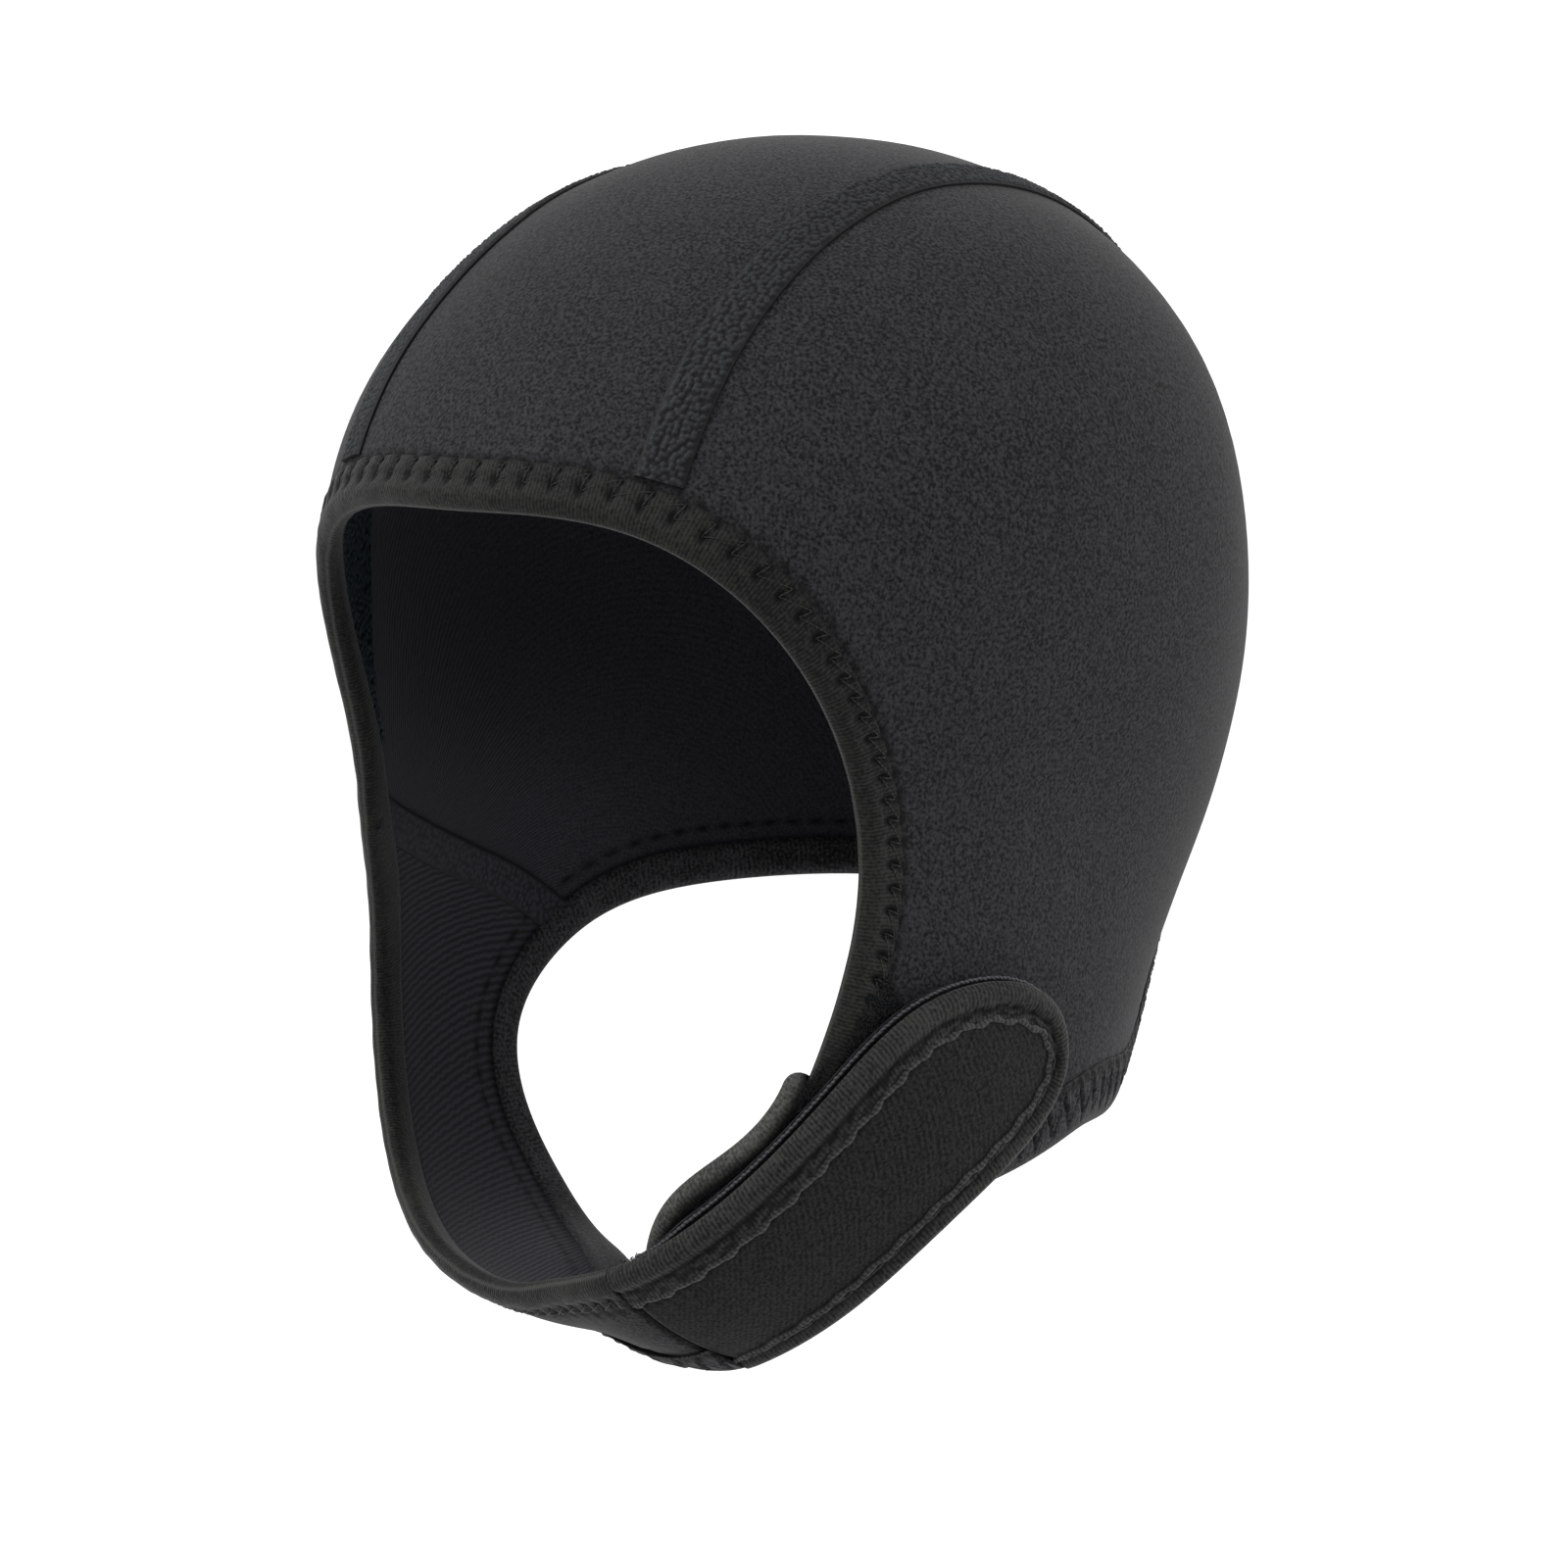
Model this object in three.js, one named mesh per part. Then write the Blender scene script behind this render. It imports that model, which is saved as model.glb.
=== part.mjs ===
// Neoprene swim hood with a chin strap, in the form that it has on a head. Millimetres.
// +X is the wearer's left, -Y is the front and +Z is up. The origin is the inside of the
// crown, where the top of the head sits. The head leans back, so the face looks up a little.
//
// Every piece is laid on one head form. A place on the form is a direction from the head's
// centre: its azimuth (0 is the front, 90 the wearer's left) and its elevation, in degrees.
import * as THREE from "three";

// ---- Driving dimensions
const SHEET = 3; // neoprene sheet
const GAP = 0.3; // clearance between pieces that touch
const ROLL_WIDE = 4.4; // elastic edge roll, along the cloth
const ROLL_THICK = 4.2; // the same roll, through the cloth
const ROLL_SINK = 1; // how far the roll's middle lies under the cloth's outer face
const TAPE_WIDE = 9; // tape over a crown seam
const CHEEK_TAPE_WIDE = 7;
const TAPE_THICK = 0.6;
const PATCH_THICK = 1; // hook patch and loop patch
const LEAN = 13.5; // degrees that the head leans back
const CELL = 9; // size of a cell in the big sheets' grids
const FINE_CELL = 6.5; // the same for the strap, the flap and the patches

// The strap rides over the flap with a patch on each. The band under the chin starts to climb
// at x = LIFT_FROM and is fully up at LIFT_TO. The flap sinks by what the band hasn't climbed.
const HOOK_TOP = SHEET + 0.5; // below the strap's outer face, clear of the roll
const LIFT = HOOK_TOP + PATCH_THICK + 2 * GAP + PATCH_THICK + GAP;
const LIFT_FROM = 8;
const LIFT_TO = 40;

// Head form: distance from the centre to the hood's outer face, up from under the chin.
// Columns: elevation, front, side, back.
const HEAD = [
  [-90, 106.5, 106.5, 106.5],
  [-65, 129, 118.5, 115.5],
  [-40, 111.5, 98.5, 93.5],
  [-15, 98, 77, 92],
  [15, 110, 87, 96],
  [45, 113, 107.5, 99.5],
  [75, 115.5, 115, 115],
  [90, 115.5, 115.5, 115.5],
];

// Crown seam: half the crown panel's width, on a form of radius 110.
// Columns: angle over the crown from the front, half width.
const SEAM = [
  [15.5, 40.5],
  [40, 38.5],
  [70, 38.5],
  [100, 42],
  [130, 44.5],
  [160, 44],
  [198.8, 38.9],
];

// The hood's edge, as one run: from the left cheek up round the face, down the right cheek,
// under the chin, out round the strap, back under the chin, round the neck to the left cheek.
// Columns: azimuth, elevation, name of the corner of a panel.
const EDGE = [
  [46.6, -40.3, "left cheek, face"],
  [49.6, -30],
  [50.2, -20],
  [47.1, -8.4],
  [36.4, 6.7],
  [20.9, 14.5, "left seam, face"],
  [0, 15],
  [-20.9, 14.5, "right seam, face"],
  [-36.7, 7.4],
  [-44, -7.9],
  [-49.5, -19.4, "right cheek, face"],
  [-60, -31],
  [-63, -47.3],
  [-50, -58.2],
  [-28.3, -63.2],
  [-3.6, -63.4],
  [17.9, -58, "chin, face"],
  [35.2, -50.1],
  [47.9, -39.8],
  [57.5, -31.9, "tab, face"],
  [65.6, -29.7],
  [73.1, -30.1],
  [78, -32.4, "tab, neck"],
  [79.6, -35.6],
  [75.6, -41.6],
  [67.4, -47.3],
  [58.5, -54.8],
  [44.8, -64.5, "chin, neck"],
  [28.4, -71.6],
  [1.4, -78],
  [-44.4, -80.9],
  [-88, -75],
  [-98.4, -61.8],
  [-95.8, -44.4],
  [-106, -33.6, "right cheek, neck"],
  [-133, -23.2],
  [-159.5, -17.7, "right seam, neck"],
  [180, -16.8],
  [159.5, -17.7, "left seam, neck"],
  [138.2, -28],
  [120.7, -40.2],
  [99.4, -42],
  [75.1, -46.6, "left cheek, neck"],
];

// The flap under the strap: from the roll's top beside the face, down round the tip and back.
const FLAP_EDGE = [
  [44.7, -37.2, "top"],
  [43.9, -39.4, "cheek, face"],
  [38.9, -44.7],
  [31.2, -49.9],
  [28.9, -54.7],
  [29.4, -59.5, "tip, face"],
  [32.8, -63.6],
  [39.8, -66, "tip, neck"],
  [50.2, -62.6],
  [60.7, -56.3],
  [68.8, -50.6],
  [75.1, -46.6, "cheek, neck"],
];

// The inner cheek seam, on the right, and its hidden match under the strap, on the left. The
// flap is a little wider than the side panel, and takes the left seam from its first row.
const RIGHT_CHEEK_SEAM = [
  [-49.5, -19.4],
  [-64.6, -23],
  [-81.8, -26.6],
  [-95, -29.6],
  [-106, -33.6],
];
const LEFT_CHEEK_SEAM = [
  [43.9, -39.4],
  [46.6, -40.3],
  [61, -42.6],
  [75.1, -46.6],
];

const COLOUR = { outside: 0x38383a, strap: 0x2e2e30, tape: 0x1d1e24, roll: 0x29292b, patch: 0x17181c };

// ---- The form
const radians = THREE.MathUtils.degToRad;
const degrees = THREE.MathUtils.radToDeg;

// Natural cubic spline through knots (x, y).
function spline(x, y) {
  const n = x.length;
  const bend = new Array(n).fill(0); // second derivatives
  const share = new Array(n).fill(0);
  for (let i = 1; i < n - 1; i++) {
    const before = x[i] - x[i - 1];
    const after = x[i + 1] - x[i];
    const pivot = 2 * (before + after) - before * share[i - 1];
    share[i] = after / pivot;
    const turn = 6 * ((y[i + 1] - y[i]) / after - (y[i] - y[i - 1]) / before);
    bend[i] = (turn - before * bend[i - 1]) / pivot;
  }
  for (let i = n - 2; i > 0; i--) bend[i] -= share[i] * bend[i + 1];
  return (at) => {
    let i = 0;
    while (i < n - 2 && at > x[i + 1]) i++;
    const h = x[i + 1] - x[i];
    const a = (x[i + 1] - at) / h;
    const b = 1 - a;
    return a * y[i] + b * y[i + 1] + (((a ** 3 - a) * bend[i] + (b ** 3 - b) * bend[i + 1]) * h * h) / 6;
  };
}

// One spline goes over the top from column `ahead` to column `behind`.
function profile(ahead, behind) {
  const down = HEAD.slice(0, -1).reverse();
  const angles = [...HEAD.map((row) => row[0]), ...down.map((row) => 180 - row[0])];
  return spline(angles, [...HEAD.map((row) => row[ahead]), ...down.map((row) => row[behind])]);
}
const frontToBack = profile(1, 3);
const sideToSide = profile(2, 2);

// Distance from the centre to the outer face, along a unit vector in the head's own frame.
function radius(d) {
  const elevation = degrees(Math.asin(THREE.MathUtils.clamp(d.z, -1, 1)));
  const flat = Math.hypot(d.x, d.y) + 1e-9;
  const ahead = -d.y / flat;
  const aside = d.x / flat;
  const front = frontToBack(elevation);
  const back = frontToBack(180 - elevation);
  const middle = ahead ** 2 * (front + back) + 2 * aside ** 2 * sideToSide(elevation);
  return (middle + ahead * (front - back)) / 2;
}

const onForm = (d) => d.clone().multiplyScalar(radius(d));

// The form's outward normal at a direction.
function normalAt(d) {
  const across = new THREE.Vector3(0, 0, 1).cross(d);
  if (across.length() < 1e-6) across.set(1, 0, 0);
  across.normalize();
  const along = d.clone().cross(across);
  const step = (way) =>
    onForm(d.clone().addScaledVector(way, 1e-3).normalize()).sub(
      onForm(d.clone().addScaledVector(way, -1e-3).normalize()),
    );
  return step(across).cross(step(along)).normalize();
}

// The head leans back about its centre, which is below the origin by the crown's inner radius.
const lean = new THREE.Quaternion().setFromAxisAngle(new THREE.Vector3(1, 0, 0), radians(-LEAN));
const crown = new THREE.Vector3(0, 0, 1).applyQuaternion(lean.clone().invert());
const centre = new THREE.Vector3(0, 0, SHEET - radius(crown));

// The point over direction d, `offset` outside the form, in the part's frame.
function place(d, offset) {
  return onForm(d).addScaledVector(normalAt(d), offset).applyQuaternion(lean).add(centre);
}

// ---- Runs over the form
function direction(azimuth, elevation) {
  const [a, e] = [radians(azimuth), radians(elevation)];
  return new THREE.Vector3(Math.sin(a) * Math.cos(e), -Math.cos(a) * Math.cos(e), Math.sin(e));
}

const seamPoint = (side) => ([angle, half]) =>
  new THREE.Vector3((side * half) / 110, -Math.cos(radians(angle)), Math.sin(radians(angle))).normalize();

// A smooth run through directions. between(a, b) takes two rows, or two corner names, and
// gives the run from one to the other as a function of 0 to 1.
class Run {
  constructor(points, names = []) {
    this.names = names;
    this.knots = [0];
    for (let i = 1; i < points.length; i++)
      this.knots.push(this.knots[i - 1] + points[i].distanceTo(points[i - 1]));
    this.axes = ["x", "y", "z"].map((axis) => spline(this.knots, points.map((p) => p[axis])));
  }
  static through(rows) {
    const points = rows.map(([azimuth, elevation]) => direction(azimuth, elevation));
    return new Run(points, rows.map((row) => row[2]));
  }
  between(from = 0, to = this.knots.length - 1) {
    const row = (key) => (typeof key === "string" ? this.names.indexOf(key) : key);
    const [start, end] = [this.knots[row(from)], this.knots[row(to)]];
    return (s) => new THREE.Vector3(...this.axes.map((axis) => axis(start + (end - start) * s))).normalize();
  }
}

const backwards = (run) => (s) => run(1 - s);
const stretch = (run, from, to) => (s) => run(from + (to - from) * s);
const straight = (a, b) => (s) => a.clone().lerp(b, s).normalize();

// The same run moved sideways over the form by a distance.
function beside(run, distance) {
  return (s) => {
    const d = run(s);
    const side = run(Math.min(s + 0.01, 1)).sub(run(Math.max(s - 0.01, 0))).cross(d).normalize();
    return d.multiplyScalar(radius(d)).addScaledVector(side, distance).normalize();
  };
}

// The point of a run that is nearest to a point on the form.
function nearest(here, run, steps = 90) {
  const [best, point, piece] = [new THREE.Vector3(Infinity, 0, 0), new THREE.Vector3(), new THREE.Line3()];
  piece.end.copy(onForm(run(0)));
  for (let i = 1; i <= steps; i++) {
    piece.start.copy(piece.end);
    piece.end.copy(onForm(run(i / steps)));
    piece.closestPointToPoint(here, true, point);
    if (point.distanceTo(here) < best.distanceTo(here)) best.copy(point);
  }
  return best;
}

function lengthOf(run, steps = 16) {
  let length = 0;
  for (let i = 0; i < steps; i++) length += onForm(run(i / steps)).distanceTo(onForm(run((i + 1) / steps)));
  return length;
}

// ---- Solids
// Joins rings or grids of points into one closed mesh, facing out.
function solid(name, points, triangles, colour, roughness) {
  const geometry = new THREE.BufferGeometry().setFromPoints(points);
  const cone = ([a, b, c]) => points[a].dot(points[b].clone().cross(points[c]));
  const volume = triangles.reduce((sum, triangle) => sum + cone(triangle), 0);
  geometry.setIndex(triangles.flatMap(([a, b, c]) => (volume > 0 ? [a, b, c] : [a, c, b])));
  geometry.computeVertexNormals();
  const material = new THREE.MeshStandardMaterial({ color: colour, roughness, metalness: 0 });
  const mesh = new THREE.Mesh(geometry, material);
  mesh.name = name;
  hood.add(mesh);
  return mesh;
}

// A sheet between four runs. top and bottom go the same way, as do left and right, and they
// meet at the corners. inset keeps the sheet back from its runs, in millimetres, in the order
// top, bottom, left, right. offset(d) is the height of its outer face over the form.
function sheet(name, { top, bottom, left, right }, inset, offset, thick, colour, roughness, cell = CELL) {
  const corners = [top(0), top(1), bottom(0), bottom(1)];
  const blend = (u, v) => {
    const edges = top(u).multiplyScalar(1 - v).addScaledVector(bottom(u), v);
    edges.addScaledVector(left(v), 1 - u).addScaledVector(right(v), u);
    const weights = [(1 - u) * (1 - v), u * (1 - v), (1 - u) * v, u * v];
    weights.forEach((weight, k) => edges.addScaledVector(corners[k], -weight));
    return edges.normalize();
  };
  const [fromTop, fromBottom, fromLeft, fromRight] = inset;
  // The share of the way across at which a line of the grid is `wanted` away from a run.
  const share = (wanted, length, run, at) => {
    let s = wanted / length;
    for (let k = 0; k < 4 && wanted !== 0; k++) {
      const here = onForm(at(s));
      s *= Math.abs(wanted) / here.distanceTo(nearest(here, run));
    }
    return s;
  };
  const inside = (u, v) => {
    const wide = lengthOf((s) => blend(s, v), 8);
    const long = lengthOf((s) => blend(u, s), 8);
    const across = fromLeft / wide + u * (1 - (fromLeft + fromRight) / wide);
    const along = fromTop / long + v * (1 - (fromTop + fromBottom) / long);
    const l = share(fromLeft, wide, left, (s) => blend(s, along));
    const r = share(fromRight, wide, right, (s) => blend(1 - s, along));
    const t = share(fromTop, long, top, (s) => blend(across, s));
    const b = share(fromBottom, long, bottom, (s) => blend(across, 1 - s));
    const here = onForm(blend(l + u * (1 - l - r), t + v * (1 - t - b)));
    [top, bottom, left, right].forEach((run, k) => {
      const back = here.clone().sub(nearest(here, stretch(run, -0.06, 1.06)));
      if (inset[k] > 1 && back.length() < inset[k]) here.add(back.setLength(inset[k] - back.length()));
    });
    return here.normalize();
  };
  const columns = Math.max(2, Math.round(lengthOf((s) => blend(s, 0.5)) / cell));
  const rows = Math.max(2, Math.round(lengthOf((s) => blend(0.5, s)) / cell));
  const outer = [];
  const inner = [];
  for (let j = 0; j <= rows; j++)
    for (let i = 0; i <= columns; i++) {
      const d = inside(i / columns, j / rows);
      outer.push(place(d, offset(d)));
      inner.push(place(d, offset(d) - thick));
    }
  const points = [...outer, ...inner];
  const shift = outer.length;
  const triangles = [];
  for (let j = 0; j < rows; j++)
    for (let i = 0; i < columns; i++) {
      const [a, b] = [j * (columns + 1) + i, j * (columns + 1) + i + 1];
      const [c, d] = [b + columns + 1, a + columns + 1];
      const halves =
        points[a].distanceTo(points[c]) < points[b].distanceTo(points[d])
          ? [[a, b, c], [a, c, d]]
          : [[a, b, d], [b, c, d]];
      for (const [p, q, r] of halves) triangles.push([p, q, r], [p + shift, r + shift, q + shift]);
    }
  const rim = [];
  for (let i = 0; i < columns; i++) rim.push(i);
  for (let j = 0; j < rows; j++) rim.push(j * (columns + 1) + columns);
  for (let i = columns; i > 0; i--) rim.push(rows * (columns + 1) + i);
  for (let j = rows; j > 0; j--) rim.push(j * (columns + 1));
  rim.forEach((a, k) => {
    const b = rim[(k + 1) % rim.length];
    triangles.push([b, a, a + shift], [b, a + shift, b + shift]);
  });
  return solid(name, points, triangles, colour, roughness);
}

// The rounded elastic roll along a run. `ends` says how far short of each end it stops.
function roll(name, run, offset, ends = [GAP / 2, GAP / 2], cell = 7, sides = 8) {
  const length = lengthOf(run, 80);
  const steps = Math.round(length / cell);
  const inner = stretch(run, ends[0] / length, 1 - ends[1] / length);
  const points = [];
  const triangles = [];
  for (let i = 0; i <= steps; i++) {
    const s = i / steps;
    const d = inner(s);
    const middle = (at) => place(inner(at), offset(inner(at), at) - ROLL_SINK);
    const along = middle(Math.min(s + 0.004, 1)).sub(middle(Math.max(s - 0.004, 0))).normalize();
    const out = normalAt(d).applyQuaternion(lean);
    const side = along.clone().cross(out).normalize();
    const up = side.clone().cross(along);
    for (let k = 0; k < sides; k++) {
      const turn = ((k + 0.5) / sides) * 2 * Math.PI;
      points.push(
        middle(s)
          .addScaledVector(side, (Math.cos(turn) * ROLL_WIDE) / 2)
          .addScaledVector(up, (Math.sin(turn) * ROLL_THICK) / 2),
      );
    }
  }
  for (let i = 0; i < steps; i++)
    for (let k = 0; k < sides; k++) {
      const [a, b] = [i * sides + k, i * sides + ((k + 1) % sides)];
      triangles.push([a, b, b + sides], [a, b + sides, a + sides]);
    }
  const last = steps * sides;
  for (let k = 1; k < sides - 1; k++) {
    triangles.push([0, k + 1, k]);
    triangles.push([last, last + k, last + k + 1]);
  }
  return solid(name, points, triangles, COLOUR.roll, 0.8);
}

// A flat tape centred on a run.
function tape(name, run, inset, wide, outerFace) {
  const [left, right] = [beside(run, -wide / 2), beside(run, wide / 2)];
  const edges = { top: straight(left(0), right(0)), bottom: straight(left(1), right(1)), left, right };
  return sheet(name, edges, [...inset, 0, 0], () => outerFace, TAPE_THICK, COLOUR.tape, 0.95, FINE_CELL);
}

// ---- The hood
const hood = new THREE.Group();
hood.name = "swim_hood";

const edge = Run.through(EDGE);
const flapEdge = Run.through(FLAP_EDGE);
const leftSeam = new Run(SEAM.map(seamPoint(1))).between();
const rightSeam = new Run(SEAM.map(seamPoint(-1))).between();
const rightCheekSeam = Run.through(RIGHT_CHEEK_SEAM).between();
const leftCheekSeam = Run.through(LEFT_CHEEK_SEAM);
const chinSeam = straight(edge.between("chin, face")(0), edge.between("chin, neck")(0));

const flush = () => 0;
const lift = (d) => LIFT * THREE.MathUtils.smoothstep(d.x * radius(d), LIFT_FROM, LIFT_TO);
const sunk = (d) => lift(d) - LIFT;
const liftAtStart = (d, s) => (s < 0.5 ? lift(d) : 0); // for rolls that leave the strap
const liftAtEnd = (d, s) => (s > 0.5 ? lift(d) : 0);
const HEM = ROLL_WIDE / 2 + GAP + 0.1; // from the roll's middle to the sheet's edge
const BUTT = GAP / 2; // from a seam to the sheet's edge

// Panels. The crown panel lies between the two crown seams.
sheet(
  "crown_panel",
  {
    top: edge.between("left seam, face", "right seam, face"),
    bottom: backwards(edge.between("right seam, neck", "left seam, neck")),
    left: leftSeam,
    right: rightSeam,
  },
  [HEM, HEM, BUTT, BUTT],
  flush,
  SHEET,
  COLOUR.outside,
  0.85,
);
sheet(
  "left_side_panel",
  {
    top: leftSeam,
    bottom: leftCheekSeam.between(1),
    left: backwards(edge.between("left cheek, face", "left seam, face")),
    right: edge.between("left seam, neck", "left cheek, neck"),
  },
  [BUTT, BUTT, HEM, HEM],
  flush,
  SHEET,
  COLOUR.outside,
  0.85,
);
sheet(
  "right_side_panel",
  {
    top: rightSeam,
    bottom: rightCheekSeam,
    left: edge.between("right seam, face", "right cheek, face"),
    right: backwards(edge.between("right cheek, neck", "right seam, neck")),
  },
  [BUTT, BUTT, HEM, HEM],
  flush,
  SHEET,
  COLOUR.outside,
  0.85,
);
sheet(
  "right_cheek_panel",
  {
    top: rightCheekSeam,
    bottom: chinSeam,
    left: edge.between("right cheek, face", "chin, face"),
    right: backwards(edge.between("chin, neck", "right cheek, neck")),
  },
  [BUTT, BUTT, HEM, HEM],
  lift,
  SHEET,
  COLOUR.outside,
  0.85,
);

// The strap goes on from the chin seam, climbs over the flap and ends in a round tab.
const strapEdges = {
  top: chinSeam,
  bottom: edge.between("tab, face", "tab, neck"),
  left: edge.between("chin, face", "tab, face"),
  right: backwards(edge.between("tab, neck", "chin, neck")),
};
sheet("chin_strap", strapEdges, [BUTT, HEM, HEM, HEM], lift, SHEET, COLOUR.strap, 0.85, FINE_CELL);

// The flap goes on from the left cheek and lies under the strap.
const flapEdges = {
  top: leftCheekSeam.between(),
  bottom: flapEdge.between("tip, face", "tip, neck"),
  left: flapEdge.between("cheek, face", "tip, face"),
  right: backwards(flapEdge.between("tip, neck", "cheek, neck")),
};
sheet("left_cheek_flap", flapEdges, [BUTT, HEM, HEM, HEM], sunk, SHEET, COLOUR.outside, 0.85, FINE_CELL);

// Elastic rolls round the edges. They meet at the chin seam and at the left cheek.
roll("face_binding", edge.between("left cheek, face", "chin, face"), liftAtEnd, [1, BUTT]);
roll("strap_binding", edge.between("chin, face", "chin, neck"), lift, [BUTT, BUTT], 4.5);
roll("neck_binding", edge.between("chin, neck", "left cheek, neck"), liftAtStart, [BUTT, 1]);
roll("flap_binding", flapEdge.between(), sunk, [0, 1], 4.5);

// Hook and loop. The hook patch lines the strap and shows as a thin rim outside its roll, which
// narrows round the tab's end. The loop patch lies on the flap and the left cheek, as far as
// the strap's edge.
const rim = ROLL_WIDE / 2 + 0.7;
const tabEnd = edge.between("tab, face", "tab, neck");
const rimTop = stretch(beside(edge.between("chin, face", "tab, face"), -rim), 0.21, 1);
const rimLow = stretch(beside(edge.between("chin, neck", "tab, neck"), -2), 0.21, 1);
const rimEnd = (s) => beside(tabEnd, s * (rim + 2) - rim)(s);
const hookEdges = { top: straight(rimTop(0), rimLow(0)), bottom: rimEnd, left: rimTop, right: rimLow };
const hookTop = (d) => lift(d) - HOOK_TOP;
sheet("hook_patch", hookEdges, [0, 0, 0, 0], hookTop, PATCH_THICK, COLOUR.patch, 1, FINE_CELL);
const upper = stretch(beside(edge.between("chin, face", "tab, face"), 0.2), 0.3, 0.92);
const lower = stretch(beside(edge.between("chin, neck", "tab, neck"), -9), 0.3, 0.88);
const [near, far] = [straight(upper(0), lower(0)), straight(upper(1), lower(1))];
const loopEdges = { top: near, bottom: far, left: upper, right: lower };
const loopTop = (d) => sunk(d) + GAP + PATCH_THICK;
sheet("loop_patch", loopEdges, [0, 0, 0, 0], loopTop, PATCH_THICK, COLOUR.patch, 1, FINE_CELL);

// Seam tapes: outside on the crown seams, inside on the right cheek seam.
tape("left_seam_tape", leftSeam, [HEM, HEM], TAPE_WIDE, GAP + TAPE_THICK);
tape("right_seam_tape", rightSeam, [HEM, HEM], TAPE_WIDE, GAP + TAPE_THICK);
tape("right_cheek_tape", rightCheekSeam, [HEM, HEM], CHEEK_TAPE_WIDE, -SHEET - GAP);

export default hood;
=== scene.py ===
"""Neoprene swim hood with a chin strap that fastens over a flap, in the form it has on a head.

Blender works in metres; the sizes below are millimetres, and mesh_of turns them into metres.
+X is the wearer's left, -Y the front, +Z up, and the origin is the inside of the crown.
"""

import math

import bpy
import numpy as np
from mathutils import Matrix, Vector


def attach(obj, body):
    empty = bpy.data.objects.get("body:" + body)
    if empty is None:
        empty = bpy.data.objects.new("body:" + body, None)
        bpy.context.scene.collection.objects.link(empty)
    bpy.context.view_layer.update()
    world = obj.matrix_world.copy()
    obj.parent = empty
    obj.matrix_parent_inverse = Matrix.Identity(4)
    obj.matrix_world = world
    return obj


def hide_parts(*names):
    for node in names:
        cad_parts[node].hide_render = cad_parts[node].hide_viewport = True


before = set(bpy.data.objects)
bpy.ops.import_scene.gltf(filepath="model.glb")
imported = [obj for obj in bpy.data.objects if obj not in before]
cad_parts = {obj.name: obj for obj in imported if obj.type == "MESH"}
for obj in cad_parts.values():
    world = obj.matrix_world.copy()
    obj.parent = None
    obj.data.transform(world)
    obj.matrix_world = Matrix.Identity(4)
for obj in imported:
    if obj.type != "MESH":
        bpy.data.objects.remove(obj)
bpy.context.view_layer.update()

# Crown panel

# The middle panel of the hood: 3 mm closed-cell neoprene with knitted nylon on both faces, cut
# as a long waisted strip that runs from the forehead over the crown to the nape. It is glued
# edge to edge with the side panels, and tape covers the two seams.

SHEET = 3.0
LEAN = math.radians(13.5)  # the head leans back

# The head form: distance from its centre to the hood's outer face. Columns: elevation in
# degrees, front, side, back.
HEAD = np.array(
    [
        [-90, 106.5, 106.5, 106.5],
        [-65, 129, 118.5, 115.5],
        [-40, 111.5, 98.5, 93.5],
        [-15, 98, 77, 92],
        [15, 110, 87, 96],
        [45, 113, 107.5, 99.5],
        [75, 115.5, 115, 115],
        [90, 115.5, 115.5, 115.5],
    ]
)

# Crown seam. Columns: angle over the crown from the front, and half the crown panel's width
# where the form's radius is SEAM_RADIUS.
SEAM_RADIUS = 110
SEAM = np.array(
    [[15.5, 40.5], [40, 38.5], [70, 38.5], [100, 42], [130, 44.5], [160, 44], [198.8, 38.9]]
)

# The cloth's edge as one run, with the cloth on its right: up round the face from the left
# cheek, down the right cheek, under the chin, round the strap, back and round the neck.
# Columns: azimuth, elevation, and the name of a corner where panels meet. The corner "chin, face"
# is where the real seam ends, 5 mm further up the strap than the joint of the CAD solids.
EDGE = [
    (46.6, -40.3, "left cheek, face"),
    (49.6, -30),
    (50.2, -20),
    (47.1, -8.4),
    (36.4, 6.7),
    (20.9, 14.5, "left seam, face"),
    (0, 15),
    (-20.9, 14.5, "right seam, face"),
    (-36.7, 7.4),
    (-44, -7.9),
    (-49.5, -19.4, "right cheek, face"),
    (-60, -31),
    (-63, -47.3),
    (-50, -58.2),
    (-28.3, -63.2),
    (-3.6, -63.4),
    (17.9, -58),
    (23.5, -55.8, "chin, face"),
    (35.2, -50.1),
    (47.9, -39.8),
    (57.5, -31.9, "tab, face"),
    (65.6, -29.7),
    (73.1, -30.1),
    (78, -32.4, "tab, neck"),
    (79.6, -35.6),
    (75.6, -41.6),
    (67.4, -47.3),
    (58.5, -54.8),
    (44.8, -64.5, "chin, neck"),
    (28.4, -71.6),
    (1.4, -78),
    (-44.4, -80.9),
    (-88, -75),
    (-98.4, -61.8),
    (-95.8, -44.4),
    (-106, -33.6, "right cheek, neck"),
    (-133, -23.2),
    (-159.5, -17.7, "right seam, neck"),
    (180, -16.8),
    (159.5, -17.7, "left seam, neck"),
    (138.2, -28),
    (120.7, -40.2),
    (99.4, -42),
    (75.1, -46.6, "left cheek, neck"),
]


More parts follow.
